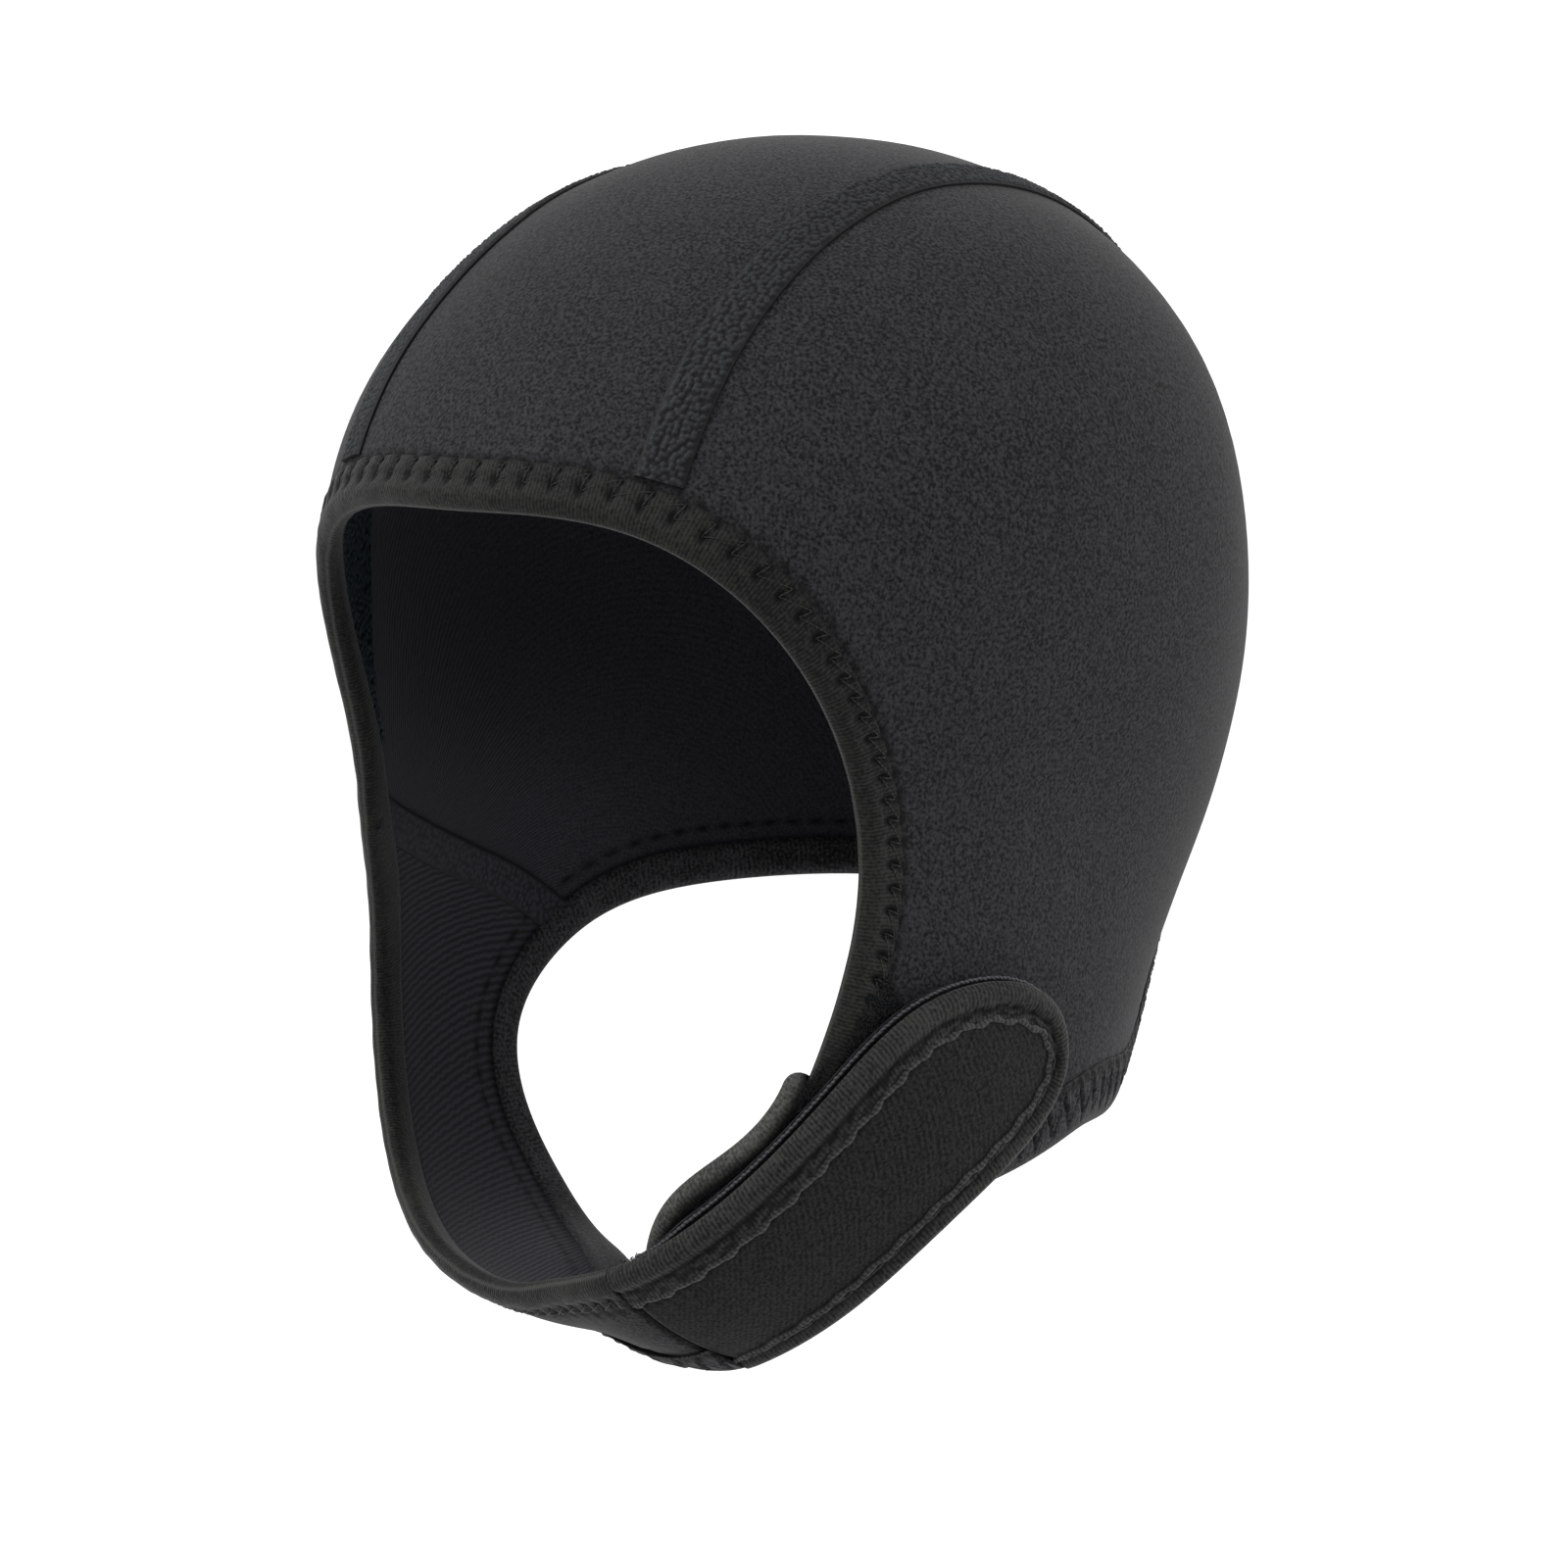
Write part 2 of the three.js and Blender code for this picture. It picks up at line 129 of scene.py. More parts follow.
def spline(x, y):
    """Natural cubic spline through the values or points y at x: between two knots a cubic, with
    slope and bend running on through each knot, and no bend at the two ends."""
    x, y = np.asarray(x, float), np.asarray(y, float)
    h, n = np.diff(x), len(x)
    matrix, right = np.eye(n), np.zeros_like(y)
    for i in range(1, n - 1):
        matrix[i, i - 1 : i + 2] = h[i - 1], 2 * (h[i - 1] + h[i]), h[i]
        right[i] = 6 * ((y[i + 1] - y[i]) / h[i] - (y[i] - y[i - 1]) / h[i - 1])
    bend = np.linalg.solve(matrix, right)

    def at(t):
        t = np.asarray(t, float)
        i = np.clip(np.searchsorted(x, t) - 1, 0, n - 2)
        a, size = (x[i + 1] - t) / h[i], h[i]
        if y.ndim > 1:
            a, size = a[..., None], size[..., None]
        b = 1 - a
        return a * y[i] + b * y[i + 1] + ((a**3 - a) * bend[i] + (b**3 - b) * bend[i + 1]) * size**2 / 6

    return at


def over_the_top(ahead, behind):
    """The head's outline up the front, over the crown and down the back, by angle."""
    down = HEAD[:-1][::-1]
    angles = np.concatenate([HEAD[:, 0], 180 - down[:, 0]])
    return spline(angles, np.concatenate([HEAD[:, ahead], down[:, behind]]))


front_to_back, side_to_side = over_the_top(1, 3), over_the_top(2, 2)


def radius(d):
    """Distance to the outer face along unit vectors d. With c the share of a vector that looks
    ahead and s the share aside, it is c^2 (front + back)/2 + s^2 side + c (front - back)/2."""
    elevation = np.degrees(np.arcsin(np.clip(d[..., 2], -1, 1)))
    flat = np.hypot(d[..., 0], d[..., 1]) + 1e-9  # never 0, so the poles have a radius too
    c, s = -d[..., 1] / flat, d[..., 0] / flat
    front, back = front_to_back(elevation), front_to_back(180 - elevation)
    return c**2 * (front + back) / 2 + s**2 * side_to_side(elevation) + c * (front - back) / 2


def unit(v):
    """Vectors v divided by their lengths."""
    return v / np.linalg.norm(v, axis=-1, keepdims=True)


def on_form(d):
    """The points of the outer face in directions d: each direction times the radius there."""
    return d * radius(d)[..., None]


UP = np.array([0, 0, 1.0])


def normal_at(d, step=1e-3):
    """The form's outward normal: the cross product of two short steps over it."""
    across = unit(np.cross(UP, d) + 1e-12)
    along = np.cross(d, across)
    moves = [on_form(unit(d + step * way)) - on_form(unit(d - step * way)) for way in (across, along)]
    return unit(np.cross(*moves))


TILT = np.array([[1, 0, 0], [0, math.cos(LEAN), math.sin(LEAN)], [0, -math.sin(LEAN), math.cos(LEAN)]])
CENTRE = np.array([0, 0, SHEET - float(radius(TILT.T @ UP))])  # of the head form


def place(d, height):
    """The point over direction d, `height` outside the hood's outer face, with the head leaned
    back by TILT about the form's centre."""
    return (on_form(d) + normal_at(d) * np.asarray(height, float)[..., None]) @ TILT.T + CENTRE


def direction(azimuth, elevation):
    """Unit vectors from degrees round from the front, to the wearer's left, and degrees up."""
    a, e = np.radians(azimuth), np.radians(elevation)
    return np.stack([np.sin(a) * np.cos(e), -np.cos(a) * np.cos(e), np.sin(e)], -1)


def lengths(points):
    """Length along a line of points, at each of them."""
    return np.append(0, np.cumsum(np.linalg.norm(np.diff(points, axis=0), axis=1)))


def smooth_run(points, start=0, end=-1):
    """A smooth run through unit vectors, from one point to another, as a function of 0 to 1."""
    at = lengths(points)
    curve = spline(at, points)
    return lambda s: unit(curve(at[start] + (at[end] - at[start]) * np.asarray(s, float)))


def run(rows, start=0, end=-1):
    """The run through rows of azimuth and elevation, from one row to another. A row is given by
    its number or by its corner's name."""
    names = [row[2] if len(row) > 2 else None for row in rows]
    start, end = (names.index(key) if isinstance(key, str) else key for key in (start, end))
    return smooth_run(direction(*np.array([row[:2] for row in rows]).T), start, end)


def crown_seam(side):
    """The seam over the crown on the left, side 1, or on the right, side -1."""
    angle, half = np.radians(SEAM[:, 0]), side * SEAM[:, 1] / SEAM_RADIUS
    return smooth_run(unit(np.stack([half, -np.cos(angle), np.sin(angle)], -1)))


def backwards(r):
    """Run r from its end to its start."""
    return lambda s: r(1 - np.asarray(s, float))


def length_along(r, count=2400):
    """(points over the form, length at each) for evenly spaced shares of a run."""
    p = on_form(r(np.linspace(0, 1, count)))
    return p, lengths(p)


def near(d, r, block=4000):
    """(distance from run r, length along it to the nearest place) for directions d, worked out
    for a block of them at a time."""
    p, length = length_along(r)
    flat = on_form(d).reshape(-1, 3)
    away, along = np.empty(len(flat)), np.empty(len(flat))
    for k in range(0, len(flat), block):
        part = flat[k : k + block]
        gap = (part**2).sum(1)[:, None] - 2 * part @ p.T + (p**2).sum(1)[None]
        i = gap.argmin(1)
        away[k : k + block] = np.sqrt(np.maximum(gap[np.arange(len(part)), i], 0))
        along[k : k + block] = length[i]
    return away.reshape(d.shape[:-1]), along.reshape(d.shape[:-1])


def between(top, bottom, left, right, u, v):
    """Coons patch of directions between four runs, for rows v and columns u: the blend of top
    and bottom, plus the blend of left and right, less the blend of the four corners."""
    U, V = u[None, :, None], v[:, None, None]
    t, b, l, r = top(u)[None], bottom(u)[None], left(v)[:, None], right(v)[:, None]
    upper, lower = t[:, :1] * (1 - U) + t[:, -1:] * U, b[:, :1] * (1 - U) + b[:, -1:] * U
    return unit(t * (1 - V) + b * V + l * (1 - U) + r * U - upper * (1 - V) - lower * V)


def steps(length, coarse, fine=None, reach=14.0, change=12.0):
    """0 to 1 in steps of `coarse` millimetres, or `fine` within `reach` of both ends, where the
    step grows from fine to coarse over the next `change`."""
    at = np.linspace(0, length, 4000)
    away = np.minimum(at, length - at)
    size = coarse if fine is None else fine + (coarse - fine) * np.clip((away - reach) / change, 0, 1)
    count = np.append(0, np.cumsum(np.diff(at) / np.broadcast_to(size, at.shape)[1:]))
    return np.interp(np.linspace(0, count[-1], round(count[-1]) + 1), count, at) / length


def ramp(x, low, high):
    """0 below low, 1 above high, and a smooth S between them."""
    t = np.clip((x - low) / (high - low), 0, 1)
    return t * t * (3 - 2 * t)


def bell(x, wide):
    """1 at x = 0, falling off to both sides as e to the minus square of x / wide."""
    return np.exp(-((x / wide) ** 2))


def waves(p, size, seed=3, count=9):
    """Slow unevenness of about -1 to 1: the sum of sine waves in `count` seeded directions, each
    0.7 to 1.5 times `size` long."""
    rng = np.random.default_rng(seed)
    k = unit(rng.normal(size=(count, 3))) * 2 * math.pi / (size * rng.uniform(0.7, 1.5, (count, 1)))
    return np.sin(p @ k.T + rng.uniform(0, 6, count)).sum(-1) / 4


def quads(rows, columns, around=False):
    """The quads of a grid of points, closed across its columns if around."""
    j, i = np.indices((rows - 1, columns if around else columns - 1))
    here, after = j * columns + i, j * columns + (i + 1) % columns
    return np.stack([here, after, after + columns, here + columns], -1).reshape(-1, 4)


MM = 1000  # in a metre


def mesh_of(name, points, faces, materials, slots=None, uv=None, marks=None):
    """A mesh object from points in millimetres and quads. The volume under them, a sum of triple
    products, tells whether they face out, and they are turned if not. Edges over 50 degrees are
    hard. uv is each point's place on the flat cloth, and marks are point attributes by name."""
    points, faces = np.asarray(points, float), np.asarray(faces)
    a, b, c, e = (points[faces[:, k]] for k in range(4))
    if (a * np.cross(b, c)).sum() + (a * np.cross(c, e)).sum() < 0:
        faces = faces[:, ::-1]
    corners = faces.ravel()
    mesh = bpy.data.meshes.new(name)
    mesh.vertices.add(len(points))
    mesh.vertices.foreach_set("co", points.ravel() / MM)
    mesh.loops.add(len(corners))
    mesh.loops.foreach_set("vertex_index", corners)
    mesh.polygons.add(len(faces))
    mesh.polygons.foreach_set("loop_start", np.arange(0, len(corners), 4))
    for material in materials:
        mesh.materials.append(material)
    if slots is not None:
        mesh.polygons.foreach_set("material_index", np.asarray(slots, np.int32))
    mesh.update(calc_edges=True)
    mesh.shade_smooth()
    mesh.set_sharp_from_angle(angle=math.radians(50))
    if uv is not None:
        mesh.uv_layers.new(name="cloth").data.foreach_set("uv", np.asarray(uv)[corners].ravel() / MM)
    for key, values in (marks or {}).items():
        mesh.attributes.new(key, "FLOAT", "POINT").data.foreach_set("value", np.ravel(values))
    obj = bpy.data.objects.new(name, mesh)
    bpy.context.scene.collection.objects.link(obj)
    return obj


def cloth_uv(d):
    """Each point's place on the flat cloth: the mean lengths of the grid's lines each way."""
    p = on_form(d)
    across = np.linalg.norm(np.diff(p, axis=1), axis=2).mean(0)
    along = np.linalg.norm(np.diff(p, axis=0), axis=2).mean(1)
    u, v = np.append(0, np.cumsum(across)), np.append(0, np.cumsum(along))
    return np.stack(np.broadcast_arrays(u[None], v[:, None]), -1)


def cloth(name, d, outer, inner, materials, marks=None):
    """A closed sheet: the grid of directions d at the height `outer` is its outer face, the same
    grid at the height `inner` is its inner face, and a wall joins their rims."""
    rows, columns = d.shape[:2]
    n, index = rows * columns, np.arange(rows * columns).reshape(rows, columns)
    rim = np.concatenate([index[0], index[1:, -1], index[-1, -2::-1], index[-2:0:-1, 0]])
    after = np.roll(rim, -1)
    face = quads(rows, columns)
    wall = np.stack([after, rim, rim + n, after + n], -1)
    faces = [face, face[:, ::-1] + n, wall]
    slots = np.concatenate([np.full(len(f), slot) for f, slot in zip(faces, (0, 1, 0))])
    points = np.concatenate([place(d, height).reshape(-1, 3) for height in (outer, inner)])
    uv = np.concatenate([cloth_uv(d).reshape(-1, 2)] * 2)
    both = {key: np.concatenate([np.ravel(v), np.ravel(v)]) for key, v in (marks or {}).items()}
    return mesh_of(name, points, np.concatenate(faces), materials, slots, uv, both)


def sewn_in(piece, node=None):
    """The piece is part of the hood's one body, and stands for a node, whose CAD part it hides."""
    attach(piece, "root")
    if node:
        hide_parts(node)


def stretched(d):
    """Its flat width and length are those of the widest row and the longest column, and its area
    is the sum of the grid's cells, of which the declaration takes no less than 0.3 of width times
    length. It keeps none of them."""
    p = on_form(d) / MM
    wide = np.linalg.norm(np.diff(p, axis=1), axis=2).sum(1).max()
    long = np.linalg.norm(np.diff(p, axis=0), axis=2).sum(0).max()
    area = np.linalg.norm(np.cross(p[1:, 1:] - p[:-1, :-1], p[1:, :-1] - p[:-1, 1:]), axis=2).sum() / 2
    area = float(np.clip(area, 0.31 * wide * long, wide * long))


def srgb(text):
    """An sRGB hex colour as linear red, green, blue and alpha."""
    c = np.array([int(text[i : i + 2], 16) for i in (1, 3, 5)]) / 255
    return (*np.where(c <= 0.04045, c / 12.92, ((c + 0.055) / 1.055) ** 2.4), 1.0)


def add(tree, kind, inputs=None, **settings):
    """Adds a node, sets its properties, and feeds its inputs from values or other sockets."""
    node = tree.nodes.new(kind)
    for key, value in settings.items():
        setattr(node, key, value)
    for key, value in (inputs or {}).items():
        if isinstance(value, bpy.types.NodeSocket):
            tree.links.new(value, node.inputs[key])
        else:
            node.inputs[key].default_value = value
    return node


def material_with(name, tree_of, **sockets):
    """A Principled material whose colour and height come from tree_of(tree), with plain values
    for its other sockets. The height is in millimetres."""
    material = bpy.data.materials.new(name)
    material.use_nodes = True
    tree = material.node_tree
    tree.nodes.clear()
    colour, height = tree_of(tree)
    bump = add(tree, "ShaderNodeBump", {"Height": height, "Strength": 1.0, "Distance": 1 / MM})
    values = {"Base Color": colour, "Normal": bump.outputs[0]}
    values |= {key.replace("_", " "): value for key, value in sockets.items()}
    shader = add(tree, "ShaderNodeBsdfPrincipled", values)
    add(tree, "ShaderNodeOutputMaterial", {"Surface": shader.outputs[0]})
    return material


BANDS = 314  # the scale of a wave texture whose bands are 1 mm apart
SLANTED_BANDS = 444  # the same for slanting bands


def jersey(name, dark, light, grain=1700, rib=0.9, ribbing=0.12, depth=0.07, **sockets):
    """Nylon jersey laminated to neoprene foam: matt and finely mottled, with a haze of fibre ends
    that pales where the cloth turns away, and slanting ribs where it is slack. It is painted black
    in a thin line of shade just past each fold's edge, darker at each stitch, and along the glue
    line of a seam. The real loops are 0.35 mm apart, too fine to show, so the mottles are drawn at
    0.6 mm and the ribs at `rib`."""

    def tree_of(tree):
        uv = add(tree, "ShaderNodeUVMap", uv_map="cloth").outputs["UV"]
        spot = add(tree, "ShaderNodeTexCoord").outputs["Object"]
        mottle = {"Vector": spot, "Scale": grain, "Detail": 1.5, "Roughness": 0.5}
        loops = add(tree, "ShaderNodeTexNoise", mottle)
        slants = {"Vector": uv, "Scale": SLANTED_BANDS / rib, "Distortion": 2.5, "Detail": 2.0}
        slants["Detail Scale"] = 1.5
        wales = add(tree, "ShaderNodeTexWave", slants, bands_direction="DIAGONAL")
        wear = add(tree, "ShaderNodeTexNoise", {"Vector": spot, "Scale": 25.0, "Detail": 3.0})
        slack = add(tree, "ShaderNodeAttribute", attribute_name="slack").outputs["Fac"]
        stand = add(tree, "ShaderNodeMath", {0: slack, 1: ribbing}, operation="MULTIPLY")
        knit = {"Factor": stand.outputs[0], "A": loops.outputs["Fac"], "B": wales.outputs["Fac"]}
        fine = add(tree, "ShaderNodeMix", knit)
        worn = {0: wear.outputs["Fac"], 1: 0.12, 2: fine.outputs[0]}
        both = add(tree, "ShaderNodeMath", worn, operation="MULTIPLY_ADD")
        shade = add(tree, "ShaderNodeValToRGB", {"Fac": both.outputs[0]})
        low, high = shade.color_ramp.elements
        low.position, low.color = 0.39, srgb(dark)
        high.position, high.color = 0.72, srgb(light)
        # painted shade past each fold's edge, and the dark glue lines of seams, come from this attribute
        shade_and_glue_lines = add(tree, "ShaderNodeAttribute", attribute_name="painted_shade_and_seams").outputs["Fac"]
        shade_and_glue_mix = {"Factor": shade_and_glue_lines, 6: shade.outputs[0], 7: srgb("#040404")}
        colour = add(tree, "ShaderNodeMix", shade_and_glue_mix, data_type="RGBA")
        height = add(tree, "ShaderNodeMath", {0: fine.outputs[0], 1: depth * 2}, operation="MULTIPLY")
        return colour.outputs[2], height.outputs[0]

    return material_with(name, tree_of, **sockets)


CLOTH = dict(Roughness=0.8, Specular_IOR_Level=0.07, Sheen_Weight=0.05, Sheen_Roughness=0.35)
outside = jersey("neoprene_jersey_outside", "#080809", "#252527", grain=1550, ribbing=0.04, **CLOTH)
LINING = dict(Roughness=0.9, Specular_IOR_Level=0.05, Sheen_Weight=0.03)
lining = jersey("neoprene_jersey_lining", "#19191c", "#27272c", rib=1.3, ribbing=0.9, depth=0.05, **LINING)

face_run = run(EDGE, "left cheek, face", "chin, face")
neck_run = run(EDGE, "chin, neck", "left cheek, neck")
left_seam, right_seam = crown_seam(1), crown_seam(-1)


def upward(d):
    """0 beside the cheeks and 1 at the brow, for directions d near the face's edge."""
    return ramp(np.degrees(np.arcsin(d[..., 2])), 2.0, 14.5)


# By name of a fold over the cloth's edge: its run, how far it reaches over the cloth at a
# direction and a length along the run, and the length of a stitch.
FOLDS = {
    "face": (face_run, lambda d, along: 5.4 + 1.5 * upward(d), 4.0),
    "neck": (neck_run, lambda d, along: 9.2, 5.2),
}


def level(d):
    """Height of the cloth's outer face: the form, with soft dents about 34 mm wide."""
    return 0.12 * waves(on_form(d), 34.0)


PRESSED = 0.3  # how far a fold presses the cloth down
PUCKER = 0.1  # half the height of the puckers beside a fold
DRAG = 0.07  # half the height of the slower waves beyond the puckers
SLACK = (25.0, 65.0)  # from the face's edge: the cloth is slack up to there, and taut from there


def panel(name, sides, u, v, base=level, seams=(), folds=("face", "neck"),
          materials=(outside, lining)):
    """A sheet of the hood between the runs in `sides`: top, bottom, left and right. Its outer
    face is pressed down under its folds, puckers at each stitch die away into the cloth, a thin
    line of painted shade lies just past each fold's edge, and the glue line of a seam is black."""
    d = between(*sides, u, v)
    height, shade_and_glue_lines = base(d), np.zeros(d.shape[:2])
    inner = height - SHEET
    for fold_run, reach, stitch in (FOLDS[key] for key in folds):
        away, along = near(d, fold_run)
        beyond = away - reach(d, along)
        pull = np.cos(2 * math.pi * along / stitch)
        height -= PRESSED * (1 - ramp(beyond, -1.5, 1.5))
        height += PUCKER * pull * bell(beyond - 0.8, 1.6)
        height += DRAG * np.sin(along / 7.3 + np.sin(along / 19)) * bell(beyond - 4, 4)
        # painted shade: a dark line just past the fold's edge, where the elastic's edge shades the cloth,
        # darker at each stitch
        shade_and_glue_lines += bell(beyond - 0.5, 0.7) * (0.6 + 0.4 * pull)
    for seam in seams:
        shade_and_glue_lines += bell(near(d, seam)[0], 0.6)
    slack = 1 - 0.9 * ramp(near(d, face_run)[0], *SLACK)
    marks = {"painted_shade_and_seams": np.clip(shade_and_glue_lines, 0, 1), "slack": slack}
    piece = cloth(name + "_cloth", d, height, inner, materials, marks)
    sewn_in(piece, name)
    stretched(d)


panel(
    "crown_panel",
    (
        run(EDGE, "left seam, face", "right seam, face"),
        backwards(run(EDGE, "right seam, neck", "left seam, neck")),
        left_seam,
        right_seam,
    ),
    steps(80, 1.2),
    steps(300, 2.5, 0.8),
)

# Side panels

# Two big panels shape the sides and the back of the head, from the crown seams down to the
# cheeks. They are the same 3 mm sheet, glued edge to edge with the crown panel.

LEFT_CHEEK_SEAM = [(43.9, -39.4), (46.6, -40.3), (61, -42.6), (75.1, -46.6)]
RIGHT_CHEEK_SEAM = [(-49.5, -19.4), (-64.6, -23), (-81.8, -26.6), (-95, -29.6), (-106, -33.6)]

panel(
    "left_side_panel",
    (
        left_seam,
        run(LEFT_CHEEK_SEAM, 1, 3),
        backwards(run(EDGE, "left cheek, face", "left seam, face")),
        run(EDGE, "left seam, neck", "left cheek, neck"),
    ),
    steps(190, 2.5, 0.8),
    steps(220, 1.1),
)
panel(
    "right_side_panel",
    (
        right_seam,
        run(RIGHT_CHEEK_SEAM),
        run(EDGE, "right seam, face", "right cheek, face"),
        backwards(run(EDGE, "right cheek, neck", "right seam, neck")),
    ),
    steps(190, 2.5, 0.8),
    steps(190, 1.1),
)

# Right cheek panel and strap

# The right cheek panel goes down the right cheek and under the chin, where a sewn seam joins it
# to the strap. The strap climbs over the flap and ends in a round tab on the left cheek. It is
# cut from a slightly darker sheet.

HOOK_TOP = SHEET + 0.5  # below the strap's outer face
PATCH = 1.0  # thickness of the hook and loop tapes
MESHED = 0.6  # between the two tapes, where hooks and loops meet
LOOP_TOP = PATCH + 0.3  # above the flap's outer face
LIFT = HOOK_TOP + PATCH + MESHED + LOOP_TOP
CLIMB = (8.0, 40.0)  # x where the strap starts to climb, and from where it lies over the flap


def lift(d):
    """Height of the strap: that of the cloth, plus LIFT times a ramp along CLIMB."""
    return level(d) + LIFT * ramp(d[..., 0] * radius(d), *CLIMB)


def sunk(d):
    """Height of the flap, which lies LIFT under the strap."""
    return lift(d) - LIFT


def line(a, b):
    """The straight run from direction a to direction b."""
    return lambda s: unit(a + (b - a) * np.asarray(s, float)[..., None])


strap_run = run(EDGE, "chin, face", "chin, neck")
strap_upper = run(EDGE, "chin, face", "tab, face")
tab_run = run(EDGE, "tab, face", "tab, neck")
strap_lower = backwards(run(EDGE, "tab, neck", "chin, neck"))
STRAP_LENGTH = length_along(strap_run)[1][-1]
ROLL_REACH, FLAT_WIDE = 1.5, 3.7  # how far the elastic's roll reaches in, and its flat part


def strap_reach(along):
    """Width of the cloth that the strap's elastic covers: the roll's reach, and a share of the
    flat part that goes from all of it at the chin to half and less from the tab on."""
    share = np.interp(along / STRAP_LENGTH, [0, 0.32, 0.45, 1], [1, 0.85, 0.5, 0.42])
    return ROLL_REACH + FLAT_WIDE * share


FOLDS["strap"] = (strap_run, lambda d, along: strap_reach(along), 2.3)
chin_seam = line(face_run(1.0), neck_run(0.0))


def into_chin_seam(d):
    """Height of the strap and the cheek panel, whose edges roll down 1.2 mm into their seam."""
    return lift(d) - 1.2 * bell(near(d, chin_seam)[0], 0.6)


darker = jersey("neoprene_jersey_strap", "#070707", "#1d1d1d", **CLOTH)
seam_steps = 1 - (1 - np.linspace(0, 1, 160)) ** 1.25  # closer together near the chin seam

panel(
    "right_cheek_panel",
    (
        run(RIGHT_CHEEK_SEAM),
        chin_seam,
        run(EDGE, "right cheek, face", "chin, face"),
        backwards(run(EDGE, "chin, neck", "right cheek, neck")),
    ),
    steps(70, 1.6, 0.8, 8.0),
    seam_steps,
    into_chin_seam,
    [chin_seam],
)
panel(
    "chin_strap",
    (chin_seam, tab_run, strap_upper, strap_lower),
    steps(48, 0.6),
    (1 - seam_steps)[::-1],
    into_chin_seam,
    [chin_seam],
    ["strap"],
    [darker, lining],
)

# Flap

# A flap of the same sheet goes on from the left side panel and lies under the strap. Loop pile
# covers it: brushed nylon loops, blue-black, with a painted highlight at their tips.

FLAP_EDGE = [
    (44.7, -37.2, "top"),
    (43.9, -39.4, "cheek, face"),
    (38.9, -44.7),
    (31.2, -49.9),
    (28.9, -54.7),
    (29.4, -59.5, "tip, face"),
    (32.8, -63.6),
    (39.8, -66, "tip, neck"),
    (50.2, -62.6),
    (60.7, -56.3),
    (68.8, -50.6),
    (75.1, -46.6, "cheek, neck"),
]


def pile(name, dark, light):
    """Brushed loops, or packed hooks: clumps about 1.2 mm across, raised by one noise that also
    paints their tops lighter as a highlight and the gaps between them black as shade."""

    def tree_of(tree):
        spot = add(tree, "ShaderNodeTexCoord").outputs["Object"]
        clumps = {"Vector": spot, "Scale": 800.0, "Detail": 4.0, "Roughness": 0.7}
        tufts = add(tree, "ShaderNodeTexNoise", clumps)
        # painted light and shade: the noise that raises the clumps also lightens their tops and blackens
        # the gaps
        colour = add(tree, "ShaderNodeValToRGB", {"Fac": tufts.outputs["Fac"]})
        low, high = colour.color_ramp.elements
        low.position, low.color = 0.4, srgb(dark)
        high.position, high.color = 0.75, srgb(light)
        height = add(tree, "ShaderNodeMath", {0: tufts.outputs["Fac"], 1: 0.7}, operation="MULTIPLY")
        return colour.outputs["Color"], height.outputs[0]

    return material_with(name, tree_of, Roughness=0.85, Specular_IOR_Level=0.08, Sheen_Weight=0.03)


loop_pile = pile("loop_tape_pile", "#010202", "#12181b")
flap_run = backwards(run(FLAP_EDGE))  # turned, so that its cloth too is on its right
FOLDS["flap"] = (flap_run, lambda d, along: 1.3, 60.0)

panel(
    "left_cheek_flap",
    (
        run(LEFT_CHEEK_SEAM),
        run(FLAP_EDGE, "tip, face", "tip, neck"),
        run(FLAP_EDGE, "cheek, face", "tip, face"),
        backwards(run(FLAP_EDGE, "tip, neck", "cheek, neck")),
    ),
    steps(45, 0.7),
    steps(48, 0.7),
    lambda d: sunk(d) + 0.15 * waves(on_form(d), 2.2),
    folds=["flap"],
    materials=[loop_pile, lining],
)

# Face binding

# A strip of ribbed elastic, folded over the cut edge round the face and pulled tight, so that
# the edge swells into a soft roll. Zigzag stitches in two rows of needle holes hold it down.


def beside(r, s, distance, step=2e-3):
    """Directions `distance` to the right of run r at s: the cross product of the run's travel
    and its direction points there."""
    d = r(s)
    ahead, behind = np.minimum(s + step, 1), np.maximum(s - step, 0)
    travel = unit(r(ahead) - r(behind))
    return unit(on_form(d) + np.cross(travel, d) * np.asarray(distance, float)[..., None])


def stations(r, step, short=4e-4):
    """(share, length along) at every `step` of a run, just short of its two ends."""
    length = length_along(r)[1]
    along = np.linspace(0, length[-1], int(length[-1] / step))
    share = np.interp(along, length, np.linspace(0, 1, len(length)))
    return np.clip(share, short, 1 - short), along


def outline(outer, back, count):
    """A thin fold in section: smooth curves through the points of its outer face, and back
    through those of its inner face, each point a distance into the cloth and a height."""
    spaced = np.linspace(0, 1, count) ** 1.2
    faces = []
    for points in (np.array(outer, float), np.array(back, float)):
        at = lengths(points)
        faces.append(spline(at, points)(spaced * at[-1]))
    return np.concatenate([faces[0], faces[1][::-1]])


def tube_faces(rings, sides):
    """The quads of a tube of even-sided rings, with both ends closed by quads across them."""
    i = np.arange(sides // 2 - 1)
    end = np.stack([i, i + 1, sides - 2 - i, sides - 1 - i], -1)
    return np.concatenate([quads(rings, sides, around=True), end[:, ::-1], end + (rings - 1) * sides])


def laid_along(section, places):
    """(distances, heights) of a section's points, once for each place along a run."""
    return (np.repeat(section[None, :, k], places, axis=0) for k in (0, 1))


